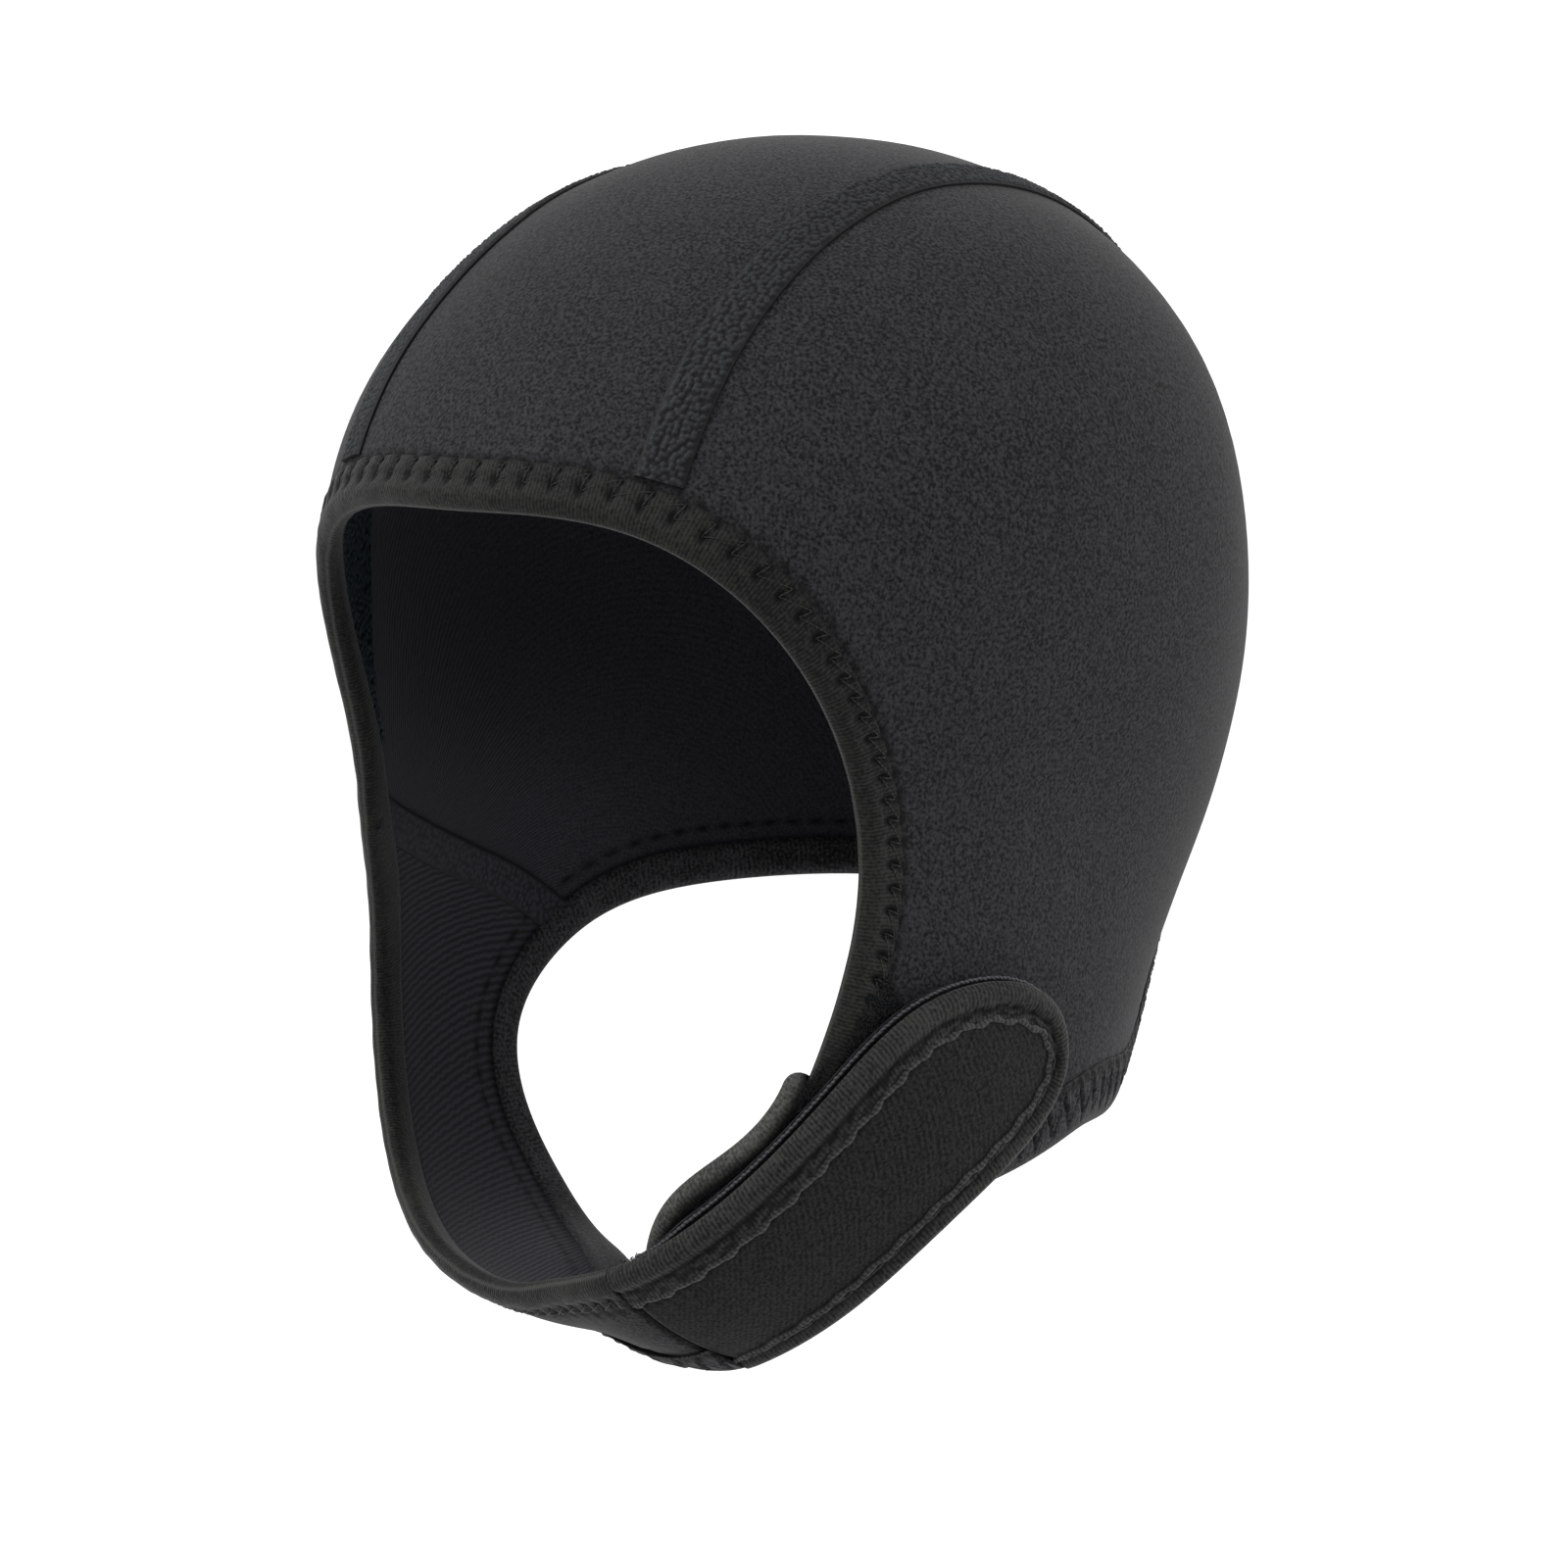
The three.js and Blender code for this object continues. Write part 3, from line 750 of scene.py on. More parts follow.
def fold(name, node, r, s, along, A, H, base, material, marks):
    """A fold along run r: its section at each place s is the distances A and the heights H. Its
    cloth's uv runs along the run and round the whole section, by the mean length of each step."""
    d = beside(r, np.broadcast_to(s[:, None], A.shape), A)
    points = place(d, H + base(r(s))[:, None])
    round_it = np.linalg.norm(np.diff(np.stack([A, H], -1), axis=1), axis=2).mean(0)
    uv = np.stack(np.broadcast_arrays(along[:, None], np.append(0, np.cumsum(round_it))[None]), -1)
    faces = tube_faces(*A.shape)
    piece = mesh_of(name, points.reshape(-1, 3), faces, [material], None, uv.reshape(-1, 2), marks)
    sewn_in(piece, node)


# Sections of the elastic: its outer face and the face that lies on the cloth. Columns: distance
# into the cloth from its edge, and height over the cloth's outer face.
FACE_OUTER = [
    (6.9, 0.2), (6.7, 0.42), (5.2, 0.52), (3.4, 0.6), (2.2, 0.82), (1.0, 1.02), (-0.2, 0.85),
    (-1.3, 0.15), (-2.05, -0.9), (-2.15, -2.0), (-1.5, -3.0), (-0.2, -3.65), (1.5, -3.9),
    (4.0, -3.95), (5.6, -3.7),
]
FACE_BACK = [
    (6.8, 0.02), (4.5, 0.05), (2.4, 0.22), (1.0, 0.42), (-0.3, 0.22), (-1.2, -0.4), (-1.55, -1.5),
    (-1.1, -2.5), (-0.1, -3.1), (1.5, -3.35), (4.0, -3.4), (5.5, -3.45),
]


def elastic(name, dark, light, ribbing=0.2, rib=0.8, **sockets):
    """Knitted elastic: fine rubber cords, which show as ribs, under a soft nylon face. It is coloured
    black as painted shade in its needle holes, grooves and creases and along its edges, and along
    seam lines, and pale along a painted highlight at the crest of its fold. The real ribs are
    0.41 mm apart, too fine to show, so they are drawn at `rib`."""

    def tree_of(tree):
        uv = add(tree, "ShaderNodeUVMap", uv_map="cloth").outputs["UV"]
        spot = add(tree, "ShaderNodeTexCoord").outputs["Object"]
        rubber = {"Vector": uv, "Scale": BANDS / rib, "Distortion": 1.6, "Detail": 1.5, "Detail Scale": 1.2}
        cords = add(tree, "ShaderNodeTexWave", rubber, bands_direction="X")
        grain = add(tree, "ShaderNodeTexNoise", {"Vector": spot, "Scale": 1500.0, "Detail": 2.0})
        knit = {"Factor": ribbing, "A": grain.outputs["Fac"], "B": cords.outputs["Fac"]}
        fine = add(tree, "ShaderNodeMix", knit)
        wear = add(tree, "ShaderNodeTexNoise", {"Vector": spot, "Scale": 60.0, "Detail": 3.0})
        worn = {0: wear.outputs["Fac"], 1: 0.35, 2: fine.outputs[0]}
        both = add(tree, "ShaderNodeMath", worn, operation="MULTIPLY_ADD")
        shade = add(tree, "ShaderNodeValToRGB", {"Fac": both.outputs[0]})
        low, high = shade.color_ramp.elements
        low.position, low.color = 0.54, srgb(dark)
        high.position, high.color = 0.83, srgb(light)
        # painted shade: black where the attribute marks needle holes, grooves, creases and edges, and along
        # seam lines
        painted_shade_and_seams = add(tree, "ShaderNodeAttribute", attribute_name="painted_shade_and_seams").outputs["Fac"]
        # painted highlight: the crest of the fold is coloured pale, standing in for the light it catches
        painted_highlight = add(tree, "ShaderNodeAttribute", attribute_name="painted_highlight").outputs["Fac"]
        highlight_mix = {"Factor": painted_highlight, 6: shade.outputs[0], 7: srgb("#3c3c3b")}
        with_highlight = add(tree, "ShaderNodeMix", highlight_mix, data_type="RGBA")
        shade_mix = {"Factor": painted_shade_and_seams, 6: with_highlight.outputs[2], 7: srgb("#020202")}
        colour = add(tree, "ShaderNodeMix", shade_mix, data_type="RGBA")
        height = add(tree, "ShaderNodeMath", {0: fine.outputs[0], 1: 0.22}, operation="MULTIPLY")
        return colour.outputs[2], height.outputs[0]

    return material_with(name, tree_of, **sockets)


BAND = dict(Roughness=0.75, Specular_IOR_Level=0.1, Sheen_Weight=0.08, Sheen_Roughness=0.35)
soft_elastic = elastic("ribbed_elastic_face_binding", "#040404", "#1b1b19", rib=0.7, **BAND)
LOW_ROW, ROWS_APART = 3.0, 3.2  # of needle holes: the first from the edge, and over the brow
CREST = 19  # the section's point at the crest of the roll, along which a pale line is painted as a highlight


def needle_rows(along, d, shift):
    """(stitches so far, pitch, holes' own unevenness) at each length along the edge. The pitch
    is 3.9 mm beside the cheeks and 5.6 mm over the brow, and one row is `shift` stitches on."""
    pitch = 3.9 + 1.7 * upward(d)
    done = np.append(0, np.cumsum(np.diff(along) / pitch[1:])) + shift
    shaken = np.random.default_rng(4).uniform(-1, 1, (2, int(done[-1]) + 3))
    return done, pitch, shaken


def face_band(name, node, r):
    """The elastic's section along the edge: less wide at the cheeks, dimpled at each needle
    hole, raised between the holes of a row, and finely lumpy where the roll puckers."""
    s, along = stations(r, 0.42)
    d = r(s)
    section = outline(FACE_OUTER, FACE_BACK, 34)
    A, H = laid_along(section, len(s))
    top = (A > -0.6) & (H > -0.3)
    wide = 0.62 + 0.38 * upward(d)
    A = np.where(A > LOW_ROW, LOW_ROW + (A - LOW_ROW) * np.where(top, wide[:, None], 0.75), A)
    painted_shade_and_seams = np.zeros_like(A)
    rows = []
    for apart, shift, long in ((0, 0.0, 1.2), (ROWS_APART, 0.18, 0.85)):
        row = LOW_ROW + apart * wide
        done, pitch, shaken = needle_rows(along, d, shift)
        k = np.floor(done).astype(int)
        gap = ((done - k - 0.5) * pitch + 0.25 * shaken[0, k])[:, None]
        off = A - (row + 0.18 * shaken[1, k])[:, None]
        spot = bell(gap, 0.72) * bell(off, long)
        H -= top * 0.55 * np.minimum(spot * 1.4, 1)
        H -= top * 0.16 * bell(off, 1.1) * (1 - 0.9 * bell(gap - pitch[:, None] / 2, 1.4))
        # painted shade: each needle hole is coloured black, as the shade in the hole
        painted_shade_and_seams = np.maximum(painted_shade_and_seams, top * np.clip(spot * 3.2 - 0.4, 0, 1))
        rows.append((done, row, shaken))
    between_rows = bell(A - (LOW_ROW + ROWS_APART / 2 * wide)[:, None], 1.0)
    H += top * 0.12 * between_rows * (1 + np.cos(2 * math.pi * (rows[0][0][:, None] + 0.1)))
    lumps = waves(np.stack(np.broadcast_arrays(along[:, None], 2.0 * A, 0 * A), -1), 5.0, 6)
    H += 0.09 * lumps * bell(A + 0.6, 2.6) * (section[:, 1] > -3)
    # painted shadow: a dark line along the elastic's upper edge
    edge_shadow = bell(A - (LOW_ROW + 3.75 * wide)[:, None], 0.3)
    painted_shade_and_seams = np.maximum(painted_shade_and_seams, 0.7 * top * edge_shadow)
    # painted highlight: a pale line along the roll's crest
    painted_highlight = 0.45 * (np.arange(A.shape[1]) == CREST) * np.ones_like(A)
    marks = {"painted_shade_and_seams": painted_shade_and_seams, "painted_highlight": painted_highlight}
    fold(name, node, r, s, along, A, H, lift_late, soft_elastic, marks)
    return s, rows


CHIN = -0.78  # directions further down than this are under the chin


def lift_late(d):
    """The cloth's height along the face's edge, which climbs only at the chin's end."""
    return np.where(d[..., 2] < CHIN, lift(d), level(d))


face_stitches = face_band("face_binding_band", "face_binding", face_run)

# Strap binding

# The same elastic binds the strap, with a narrower roll that the stitches pull into lumps. Its
# flat part is pitted with them, and a groove parts the two.

STRAP_OUTER = [
    (5.2, 0.15), (5.05, 0.32), (3.9, 0.45), (2.7, 0.3), (2.0, 0.12), (1.3, 0.45), (0.5, 0.95),
    (-0.5, 0.9), (-1.5, 0.2), (-2.15, -0.9), (-2.1, -2.0), (-1.4, -3.0), (-0.6, -3.45),
    (0.4, -3.6), (1.6, -3.7),
]
STRAP_BACK = [
    (5.1, 0.02), (3.6, 0.03), (2.6, -0.05), (1.7, -0.1), (1.0, 0.1), (0.3, 0.4), (-0.3, 0.35),
    (-1.1, -0.2), (-1.6, -1.1), (-1.55, -2.0), (-1.0, -2.75), (-0.3, -3.1), (0.5, -3.3),
    (1.5, -3.4),
]
TIP = STRAP_LENGTH * np.array([0.36, 0.43, 0.56, 0.63])  # where its round end comes and goes
ribbed = elastic("ribbed_elastic_strap_binding", "#080808", "#252524", **BAND)


def strap_band(name, node, r):
    """The strap's elastic: lumps 2.2 mm long along the roll, where each stitch pulls it in, and
    small pits in its flat part, which spread over the roll round the strap's tip."""
    s, along = stations(r, 0.4)
    section = outline(STRAP_OUTER, STRAP_BACK, 26)
    A, H = laid_along(section, len(s))
    puff = np.abs(np.sin(math.pi * along[:, None] / 2.2 + 0.5 * np.sin(along[:, None] / 9)))
    H += 0.16 * (puff - 0.6) * bell(A - 1.4, 1.3) * (section[:, 1] > -1)
    flat = (A > 1.9) & (H > -0.4)
    pits = ramp(waves(np.stack(np.broadcast_arrays(along[:, None], A, 0 * A), -1), 1.5, 9), -0.15, 0.45)
    tip = ramp(along, *TIP[:2]) * (1 - ramp(along, *TIP[2:]))
    round_end = (A > 0.9) & (H > -0.4)
    pits = np.maximum(pits * flat, 1.3 * tip[:, None] * round_end * pits)
    H -= 0.26 * pits
    # painted shade: black in the groove between roll and flat part, in the pits, and along the flat part's
    # upper edge
    groove_shade, edge_shadow = bell(A - 2.1, 0.6), bell(A - 5.0, 0.4)
    painted_shade_and_seams = 0.95 * groove_shade * (H > -0.4) + 0.8 * pits + 0.8 * flat * edge_shadow
    narrow = (strap_reach(along)[:, None] - ROLL_REACH) / FLAT_WIDE
    A = np.where(A > ROLL_REACH, ROLL_REACH + (A - ROLL_REACH) * np.where(H > -1, narrow, 1), A)
    fold(name, node, r, s, along, A, H, lift, ribbed, {"painted_shade_and_seams": np.clip(painted_shade_and_seams, 0, 1)})


strap_band("strap_binding_band", "strap_binding", strap_run)

# Flap binding

# The flap's edge is bound with a wide strip of plain smooth elastic, paler than the rest. It is
# folded over the edge, with its stitches inside.

FLAP_OUTER = [
    (1.6, 0.1), (1.45, 0.35), (1.0, 0.65), (0.3, 0.85), (-0.5, 0.65), (-1.3, 0.1), (-1.9, -0.8),
    (-2.1, -1.6), (-2.0, -2.4), (-1.3, -3.3), (-0.1, -3.75), (1.5, -3.9), (4.0, -3.95), (5.0, -3.7),
]
FLAP_BACK = [
    (1.5, 0.0), (1.0, 0.15), (0.4, 0.38), (-0.2, 0.3), (-0.8, -0.1), (-1.3, -0.8), (-1.5, -1.5),
    (-1.3, -2.4), (-0.4, -3.05), (1.5, -3.35), (4.0, -3.4), (4.9, -3.45),
]
smooth_elastic = elastic("smooth_elastic_binding", "#1e1e1d", "#3c3c3a", ribbing=0.12, **BAND)


def flap_band(name, node, r):
    """The flap's elastic: smooth, with slow waves where it is pulled round the curve. Its top
    end is turned in: the section shrinks there as the root of a circle."""
    s, along = stations(r, 0.45)
    A, H = laid_along(outline(FLAP_OUTER, FLAP_BACK, 26), len(s))
    pulled = np.sin(along / 1.9 + np.sin(along / 6))[:, None]
    H += 0.08 * pulled * bell(A - 1.5, 1.6) * (H > -0.5)
    # painted shade: the elastic darkens from its roll inward to black, as the shade beside the roll
    painted_shade_and_seams = 0.85 * ramp(A, -1.6, 1.2) * (H > -0.6)
    end = np.clip((along[-1] - along[:, None]) / 3.2, 0.02, 1)
    end = np.sqrt(1 - (1 - end) ** 2)
    A, H = 0.6 + (A - 0.6) * end, -1.4 + (H + 1.4) * end
    fold(name, node, r, s, along, A, H, sunk, smooth_elastic, {"painted_shade_and_seams": painted_shade_and_seams})


flap_band("flap_binding_band", "flap_binding", flap_run)

# Neck hem

# Round the neck the cloth itself is skived thin, turned in and stitched down. The stitches
# pull it into small V-shaped folds, and a straight seam closes its upper side.

HEM_OUTER = [
    (9.2, 0.2), (9.0, 0.38), (8.0, 0.7), (5.0, 0.85), (2.0, 0.9), (0.3, 0.75), (-1.2, 0.15),
    (-2.1, -1.0), (-2.15, -2.2), (-1.4, -3.3), (0.2, -3.85), (3.0, -4.0), (5.2, -3.95), (5.7, -3.7),
]
HEM_BACK = [
    (9.1, 0.02), (7.0, 0.06), (4.0, 0.1), (1.8, 0.15), (0.4, 0.05), (-0.8, -0.5), (-1.4, -1.5),
    (-0.9, -2.6), (0.4, -3.2), (2.0, -3.35), (4.0, -3.4), (5.5, -3.45),
]
FOLD_PITCH = 5.2
TURN = 20  # points of the section that lie outside, before it turns in
HEM_SEAM = 8.3  # from the edge to the seam that closes the hem
turned = elastic("neoprene_jersey_turned_hem", "#0c0c0d", "#2c2c2e", ribbing=0.1, rib=1.1, **CLOTH)
THROAT = -0.85  # directions further down than this are at the chin's end of the neck's edge


def lift_early(d):
    """The cloth's height along the neck's edge, which is lifted only at the chin's end."""
    return np.where(d[..., 2] < THROAT, lift(d), level(d))


def neck_hem(name, node, r):
    """The hem's section round the neck, creased along a line that swings between its two
    sides, so that each stitch stands as a V."""
    s, along = stations(r, 0.42)
    A, H = laid_along(outline(HEM_OUTER, HEM_BACK, 32), len(s))
    outside_face = (np.arange(A.shape[1]) < TURN)[None] * np.ones_like(A)
    shaken = 0.25 * np.sin(along / 11) + 0.15 * np.sin(along / 4.3)
    phase = (along / FOLD_PITCH + shaken)[:, None] % 1
    crease = A - (1.6 + 5.6 * np.abs(2 * phase - 1))
    H -= outside_face * (0.7 * bell(crease, 0.8) - 0.3 * bell(crease - 1.6, 0.9))
    H += outside_face * 0.07 * np.sin(along[:, None] / 5.1)
    stitch = 0.55 + 0.45 * np.sin(2 * math.pi * along[:, None] / 2.4)
    H -= outside_face * 0.3 * bell(A - HEM_SEAM, 0.4) * stitch
    # painted shade in each V crease, and a dark seam line with its stitches
    dark = bell(crease, 0.7) + bell(A - HEM_SEAM, 0.5) * (0.4 + 0.6 * stitch)
    marks = {"painted_shade_and_seams": outside_face * np.clip(dark, 0, 1)}
    fold(name, node, r, s, along, A, H, lift_early, turned, marks)


neck_hem("neck_hem_fold", "neck_binding", neck_run)

# Stitching thread

# Textured polyester thread, 0.26 mm thick and about as dark as the elastic. On the face it goes
# from hole to hole, and over the edge of the strap's elastic it is looped into a thick cord.


def thread(name, dark, light):
    """Twisted polyester filament: a soft, slightly glossy line with slanting strands."""

    def tree_of(tree):
        uv = add(tree, "ShaderNodeUVMap", uv_map="cloth").outputs["UV"]
        twist = {"Vector": uv, "Scale": SLANTED_BANDS / 0.7, "Distortion": 0.5}
        strands = add(tree, "ShaderNodeTexWave", twist, bands_direction="DIAGONAL")
        colour = add(tree, "ShaderNodeValToRGB", {"Fac": strands.outputs["Fac"]})
        low, high = colour.color_ramp.elements
        low.color, high.color = srgb(dark), srgb(light)
        height = add(tree, "ShaderNodeMath", {0: strands.outputs["Fac"], 1: 0.1}, operation="MULTIPLY")
        return colour.outputs["Color"], height.outputs[0]

    return material_with(name, tree_of, Roughness=0.65, Specular_IOR_Level=0.15, Sheen_Weight=0.05)


polyester = thread("polyester_thread", "#080808", "#1a1a19")
dull_cord = thread("overlock_cord", "#0e0e0e", "#292928")


def cord_along(name, d, height, thick, material, sides=6):
    """A thin round cord whose middle follows the directions d at the heights given: rings of
    radius thick / 2, square to its travel. thick may vary along it."""
    path = place(d, height)
    travel = unit(np.gradient(path, axis=0))
    aside = unit(np.cross(travel, place(d, height + 1.0) - path))
    outward = np.cross(aside, travel)
    turn = (np.arange(sides) + 0.5) / sides * 2 * math.pi
    ring = aside[:, None] * np.cos(turn)[:, None] + outward[:, None] * np.sin(turn)[:, None]
    points = path[:, None] + ring * (np.broadcast_to(thick, len(path)) / 2)[:, None, None]
    uv = np.stack(np.broadcast_arrays(lengths(path)[:, None], turn[None] * 0.2), -1)
    faces = tube_faces(len(path), sides)
    piece = mesh_of(name, points.reshape(-1, 3), faces, [material], None, uv.reshape(-1, 2))
    sewn_in(piece)


def zigzag(name, r, stitches, base):
    """The thread from a hole of one row to the next hole of the other, arched over the elastic
    as the root of a sine, and down into a hole at each end of a leg."""
    s, rows = stitches
    k = np.arange(1, int(rows[0][0][-1]))
    stops = np.empty((2 * len(k), 2))
    for half, (done, row, shaken) in enumerate(rows):
        stops[half::2, 0] = np.interp(k + 0.5, done, s)
        stops[half::2, 1] = np.interp(stops[half::2, 0], s, row) + 0.18 * shaken[1, k]
    t = np.linspace(0, 1, 8, endpoint=False)
    legs = stops[:-1, None] * (1 - t)[:, None] + stops[1:, None] * t[:, None]
    arch = np.tile(np.sin(math.pi * t) ** 0.5, len(stops) - 1)
    share, away = legs.reshape(-1, 2).T
    height = base(r(share)) + 0.02 + 0.55 * arch
    cord_along(name, beside(r, share, away), height, 0.26, polyester)


def cord(name, r, distance, height, base, thick, lump, sway, material, part=(0, 1)):
    """A cord beside run r, which swells between stitches `lump` apart and sways to both sides
    as a sine. `distance` is a function of the length along the run."""
    s, along = stations(r, 0.35)
    keep = (s >= part[0]) & (s <= part[1])
    s, along = s[keep], along[keep]
    puff = 0.6 + 0.4 * np.abs(np.sin(math.pi * along / lump))
    swayed = distance(along) + sway * np.sin(math.pi * along / lump + 0.6)
    cord_along(name, beside(r, s, swayed), base(r(s)) + height, thick * puff, material)


zigzag("face_zigzag_thread", face_run, face_stitches, lift_late)
cord("strap_overlock_cord", strap_run, strap_reach, -0.05, lift, 1.6, 3.4, 0.25, dull_cord)

# Crown seam tapes

# Embossed polyurethane tape, 9 mm wide, hot-bonded over both crown seams outside: packed
# pebbles about 1 mm across, whose tops are painted bright as a highlight and whose valleys and
# border are painted black as shade.


def pebbles(x, y, size, seed, cells=(97, 89)):
    """Height 0 to 1 of round pebbles, one in each cell of a shaken grid: 1 at a pebble's middle,
    less the square of the distance from it. The grid repeats after `cells`."""
    rng = np.random.default_rng(seed)
    gx, gy = np.floor(x / size).astype(int), np.floor(y / size).astype(int)
    shaken, tall = rng.uniform(-0.38, 0.38, (*cells, 2)), rng.uniform(0.7, 1.0, cells)
    best, height = np.full(x.shape, 9.0), np.zeros(x.shape)
    for i, j in np.ndindex(3, 3):
        cx, cy = (gx + i - 1) % cells[0], (gy + j - 1) % cells[1]
        px = (gx + i - 0.5 + shaken[cx, cy, 0]) * size
        py = (gy + j - 0.5 + shaken[cx, cy, 1]) * size
        gap = np.hypot(x - px, y - py) / size
        height, best = np.where(gap < best, tall[cx, cy], height), np.minimum(best, gap)
    return height * np.clip(1 - (best / 0.6) ** 2, 0, 1)


def film(name, dark, light, **sockets):
    """Bonded film: smooth and a little glossy, coloured by the pebbles' height as painted light and shade:
    black in the valleys and paler on the tops.
    """

    def tree_of(tree):
        spot = add(tree, "ShaderNodeTexCoord").outputs["Object"]
        grain = add(tree, "ShaderNodeTexNoise", {"Vector": spot, "Scale": 1600.0, "Detail": 2.0})
        # painted light and shade: the pebbles' height makes their tops pale and their valleys black
        top = add(tree, "ShaderNodeAttribute", attribute_name="pebble_shading").outputs["Fac"]
        shaded_by_height = {0: grain.outputs["Fac"], 1: 0.5, 2: top}
        both = add(tree, "ShaderNodeMath", shaded_by_height, operation="MULTIPLY_ADD")
        colour = add(tree, "ShaderNodeValToRGB", {"Fac": both.outputs[0]})
        low, high = colour.color_ramp.elements
        low.position, low.color = 0.4, srgb(dark)
        high.position, high.color = 1.0, srgb(light)
        height = add(tree, "ShaderNodeMath", {0: grain.outputs["Fac"], 1: 0.08}, operation="MULTIPLY")
        return colour.outputs["Color"], height.outputs[0]

    return material_with(name, tree_of, **sockets)


FILM = dict(Roughness=0.6, Specular_IOR_Level=0.12)
pebbled = film("embossed_seam_tape", "#010102", "#17191b", **FILM)


def whole(s):
    """All of a tape's width, at each share of its run."""
    return np.ones_like(s)


def tape(name, node, r, wide, rise, material, seed=2, part=(0.024, 0.976), shift=0.0,
         inside=False, left=whole):
    """A tape beside run r, `shift` from its middle line, on the hood's outer or inner face: its
    sides are rounded as a root, and its pebbles stop short of a plain border, which is left black
    as painted shade. left(s) is the share of its width that is left at each share of the run."""
    s, along = stations(r, 0.3)
    keep = (s > part[0]) & (s < part[1])
    s, along = s[keep, None], along[keep, None]
    w = np.linspace(0, 1, int(wide / 0.3) + 1)[None] * wide * left(s)
    d = beside(r, np.broadcast_to(s, w.shape), shift + w - wide / 2)
    side = np.clip(np.minimum(w, wide * left(s) - w), 0, 1)
    # the same pebbles colour the film as painted light and shade, even where rise is 0 and the face is flat
    bump = pebbles(along + 0 * w, w + 40, 1.1, seed) * ramp(side, 0.3, 0.7)
    face = 0.5 + 0.3 * np.sqrt(np.clip(side, 0, 0.6)) + rise * bump
    if inside:
        outer = level(d) - SHEET - 0.1
        inner = outer - face
    else:
        inner = level(d) - 0.05
        outer = inner + face
    piece = cloth(name, d, outer, inner, [material, material], {"pebble_shading": bump})
    sewn_in(piece, node)
    if wide > 10:  # a tape over 10 mm wide is measured as a sheet
        stretched(d)


tape("left_seam_tape_film", "left_seam_tape", left_seam, 9.0, 0.42, pebbled, seed=2)
tape("right_seam_tape_film", "right_seam_tape", right_seam, 9.0, 0.42, pebbled, seed=6)

# Inner cheek tape

# Inside, a plain tape covers the right cheek seam: smooth polyurethane film, 7 mm wide, which is
# hot-bonded over the glued edges.

plain_film = film("bonded_inner_tape", "#0e0f12", "#1f2026", Roughness=0.7, Specular_IOR_Level=0.1)
cheek_seam = run(RIGHT_CHEEK_SEAM)
# its face is flat, but it still carries the pebble pattern and dark border as painted light and shade
tape("right_cheek_tape_film", "right_cheek_tape", cheek_seam, 7.0, 0.0, plain_film, inside=True)

# Inner grip strip

# A wedge of the pebbled tape lies inside along the right edge of the face, next to the elastic:
# 29 mm wide at the temple and 3 mm beside the cheek. It keeps the hood from sliding.

GRIP_WIDE = 29.0
GRIP_PART = (0.15, 0.84)  # of the edge, from the crown seam to the cheek seam
grip = film("embossed_grip_strip", "#020304", "#1c242a", **FILM)
right_face = run(EDGE, "right seam, face", "right cheek, face")


def wedge(s):
    """Share of the grip's width that is left at each share of the edge."""
    return np.interp(s, [0.38, 0.5, 0.6, 0.7, 0.76, 0.84], [1.0, 0.66, 0.37, 0.16, 0.12, 0.1])


tape("right_grip_strip_film", None, right_face, GRIP_WIDE, 0.4, grip, 9, GRIP_PART,
     GRIP_WIDE / 2 + 4, True, wedge)

# Hook patch

# Hook tape lines the strap: stiff nylon tape packed with small hooks, sewn to the inner face. Its
# sewn edge shows beyond the strap's roll as a thin beaded rim.

hooks = pile("hook_tape", "#030304", "#141518")
ROLL = 4.4  # thickness of the strap's roll
RIM = ROLL / 2 + 0.7  # from the cloth's edge to the tape's
START = -1.6  # distance into the cloth of the tape's edge where it starts, under the roll


def under_strap(distance, edge, a, b):
    """The strap's upper or lower edge, moved in under the cloth, from share a to share b."""
    way = distance if edge is strap_upper else -distance
    return lambda s: beside(edge, a + (b - a) * np.asarray(s, float), np.full(np.shape(s), way))


def patch(name, node, sides, top, material):
    """A small stiff sheet between four runs, PATCH thick, under the height top(d)."""
    d = between(*sides, np.linspace(0, 1, 40), np.linspace(0, 1, 110))
    outer = top(d) + 0.07 * waves(on_form(d), 1.9)
    piece = cloth(name, d, outer, top(d) - PATCH + 0.1, [material, material])
    sewn_in(piece, node)
    stretched(d)


def rim_upper(s):
    """The tape's upper edge, which comes out from under the roll in its first 10 mm."""
    return beside(strap_upper, 0.12 + 0.88 * s, START - (RIM + START) * ramp(s, 0.0, 0.14))


def rim_end(s):
    """The tape's end round the tab, from the rim to 2 mm beyond the cloth's edge."""
    s = np.asarray(s, float)
    return beside(tab_run, s, s * (RIM - 2) - RIM)


def beads(along):
    """The beaded edge's distance, which goes from under the roll to the rim 10 to 20 mm along."""
    return -1.8 - (RIM - 2.1) * ramp(along, 10, 20)


rim_lower = under_strap(-2.0, strap_lower, 0.21, 1.0)
patch(
    "hook_patch_tape",
    "hook_patch",
    (line(rim_upper(0.0), rim_lower(0.0)), rim_end, rim_upper, rim_lower),
    lambda d: lift(d) - HOOK_TOP,
    hooks,
)
bead_thread = thread("hook_tape_edge_thread", "#1c1c1e", "#3a3a3d")
BEADED = (0.03, 0.56)  # of the strap's edge
cord("hook_tape_beaded_edge", strap_run, beads, 0.45 - HOOK_TOP, lift, 0.7, 0.95, 0.05,
     bead_thread, BEADED)

# Loop patch and pile

# Loop tape on the flap faces the hooks. Stray loops of its brushed pile stand up where nothing
# presses them: over the flap, and on the cheek in the corner above the strap.

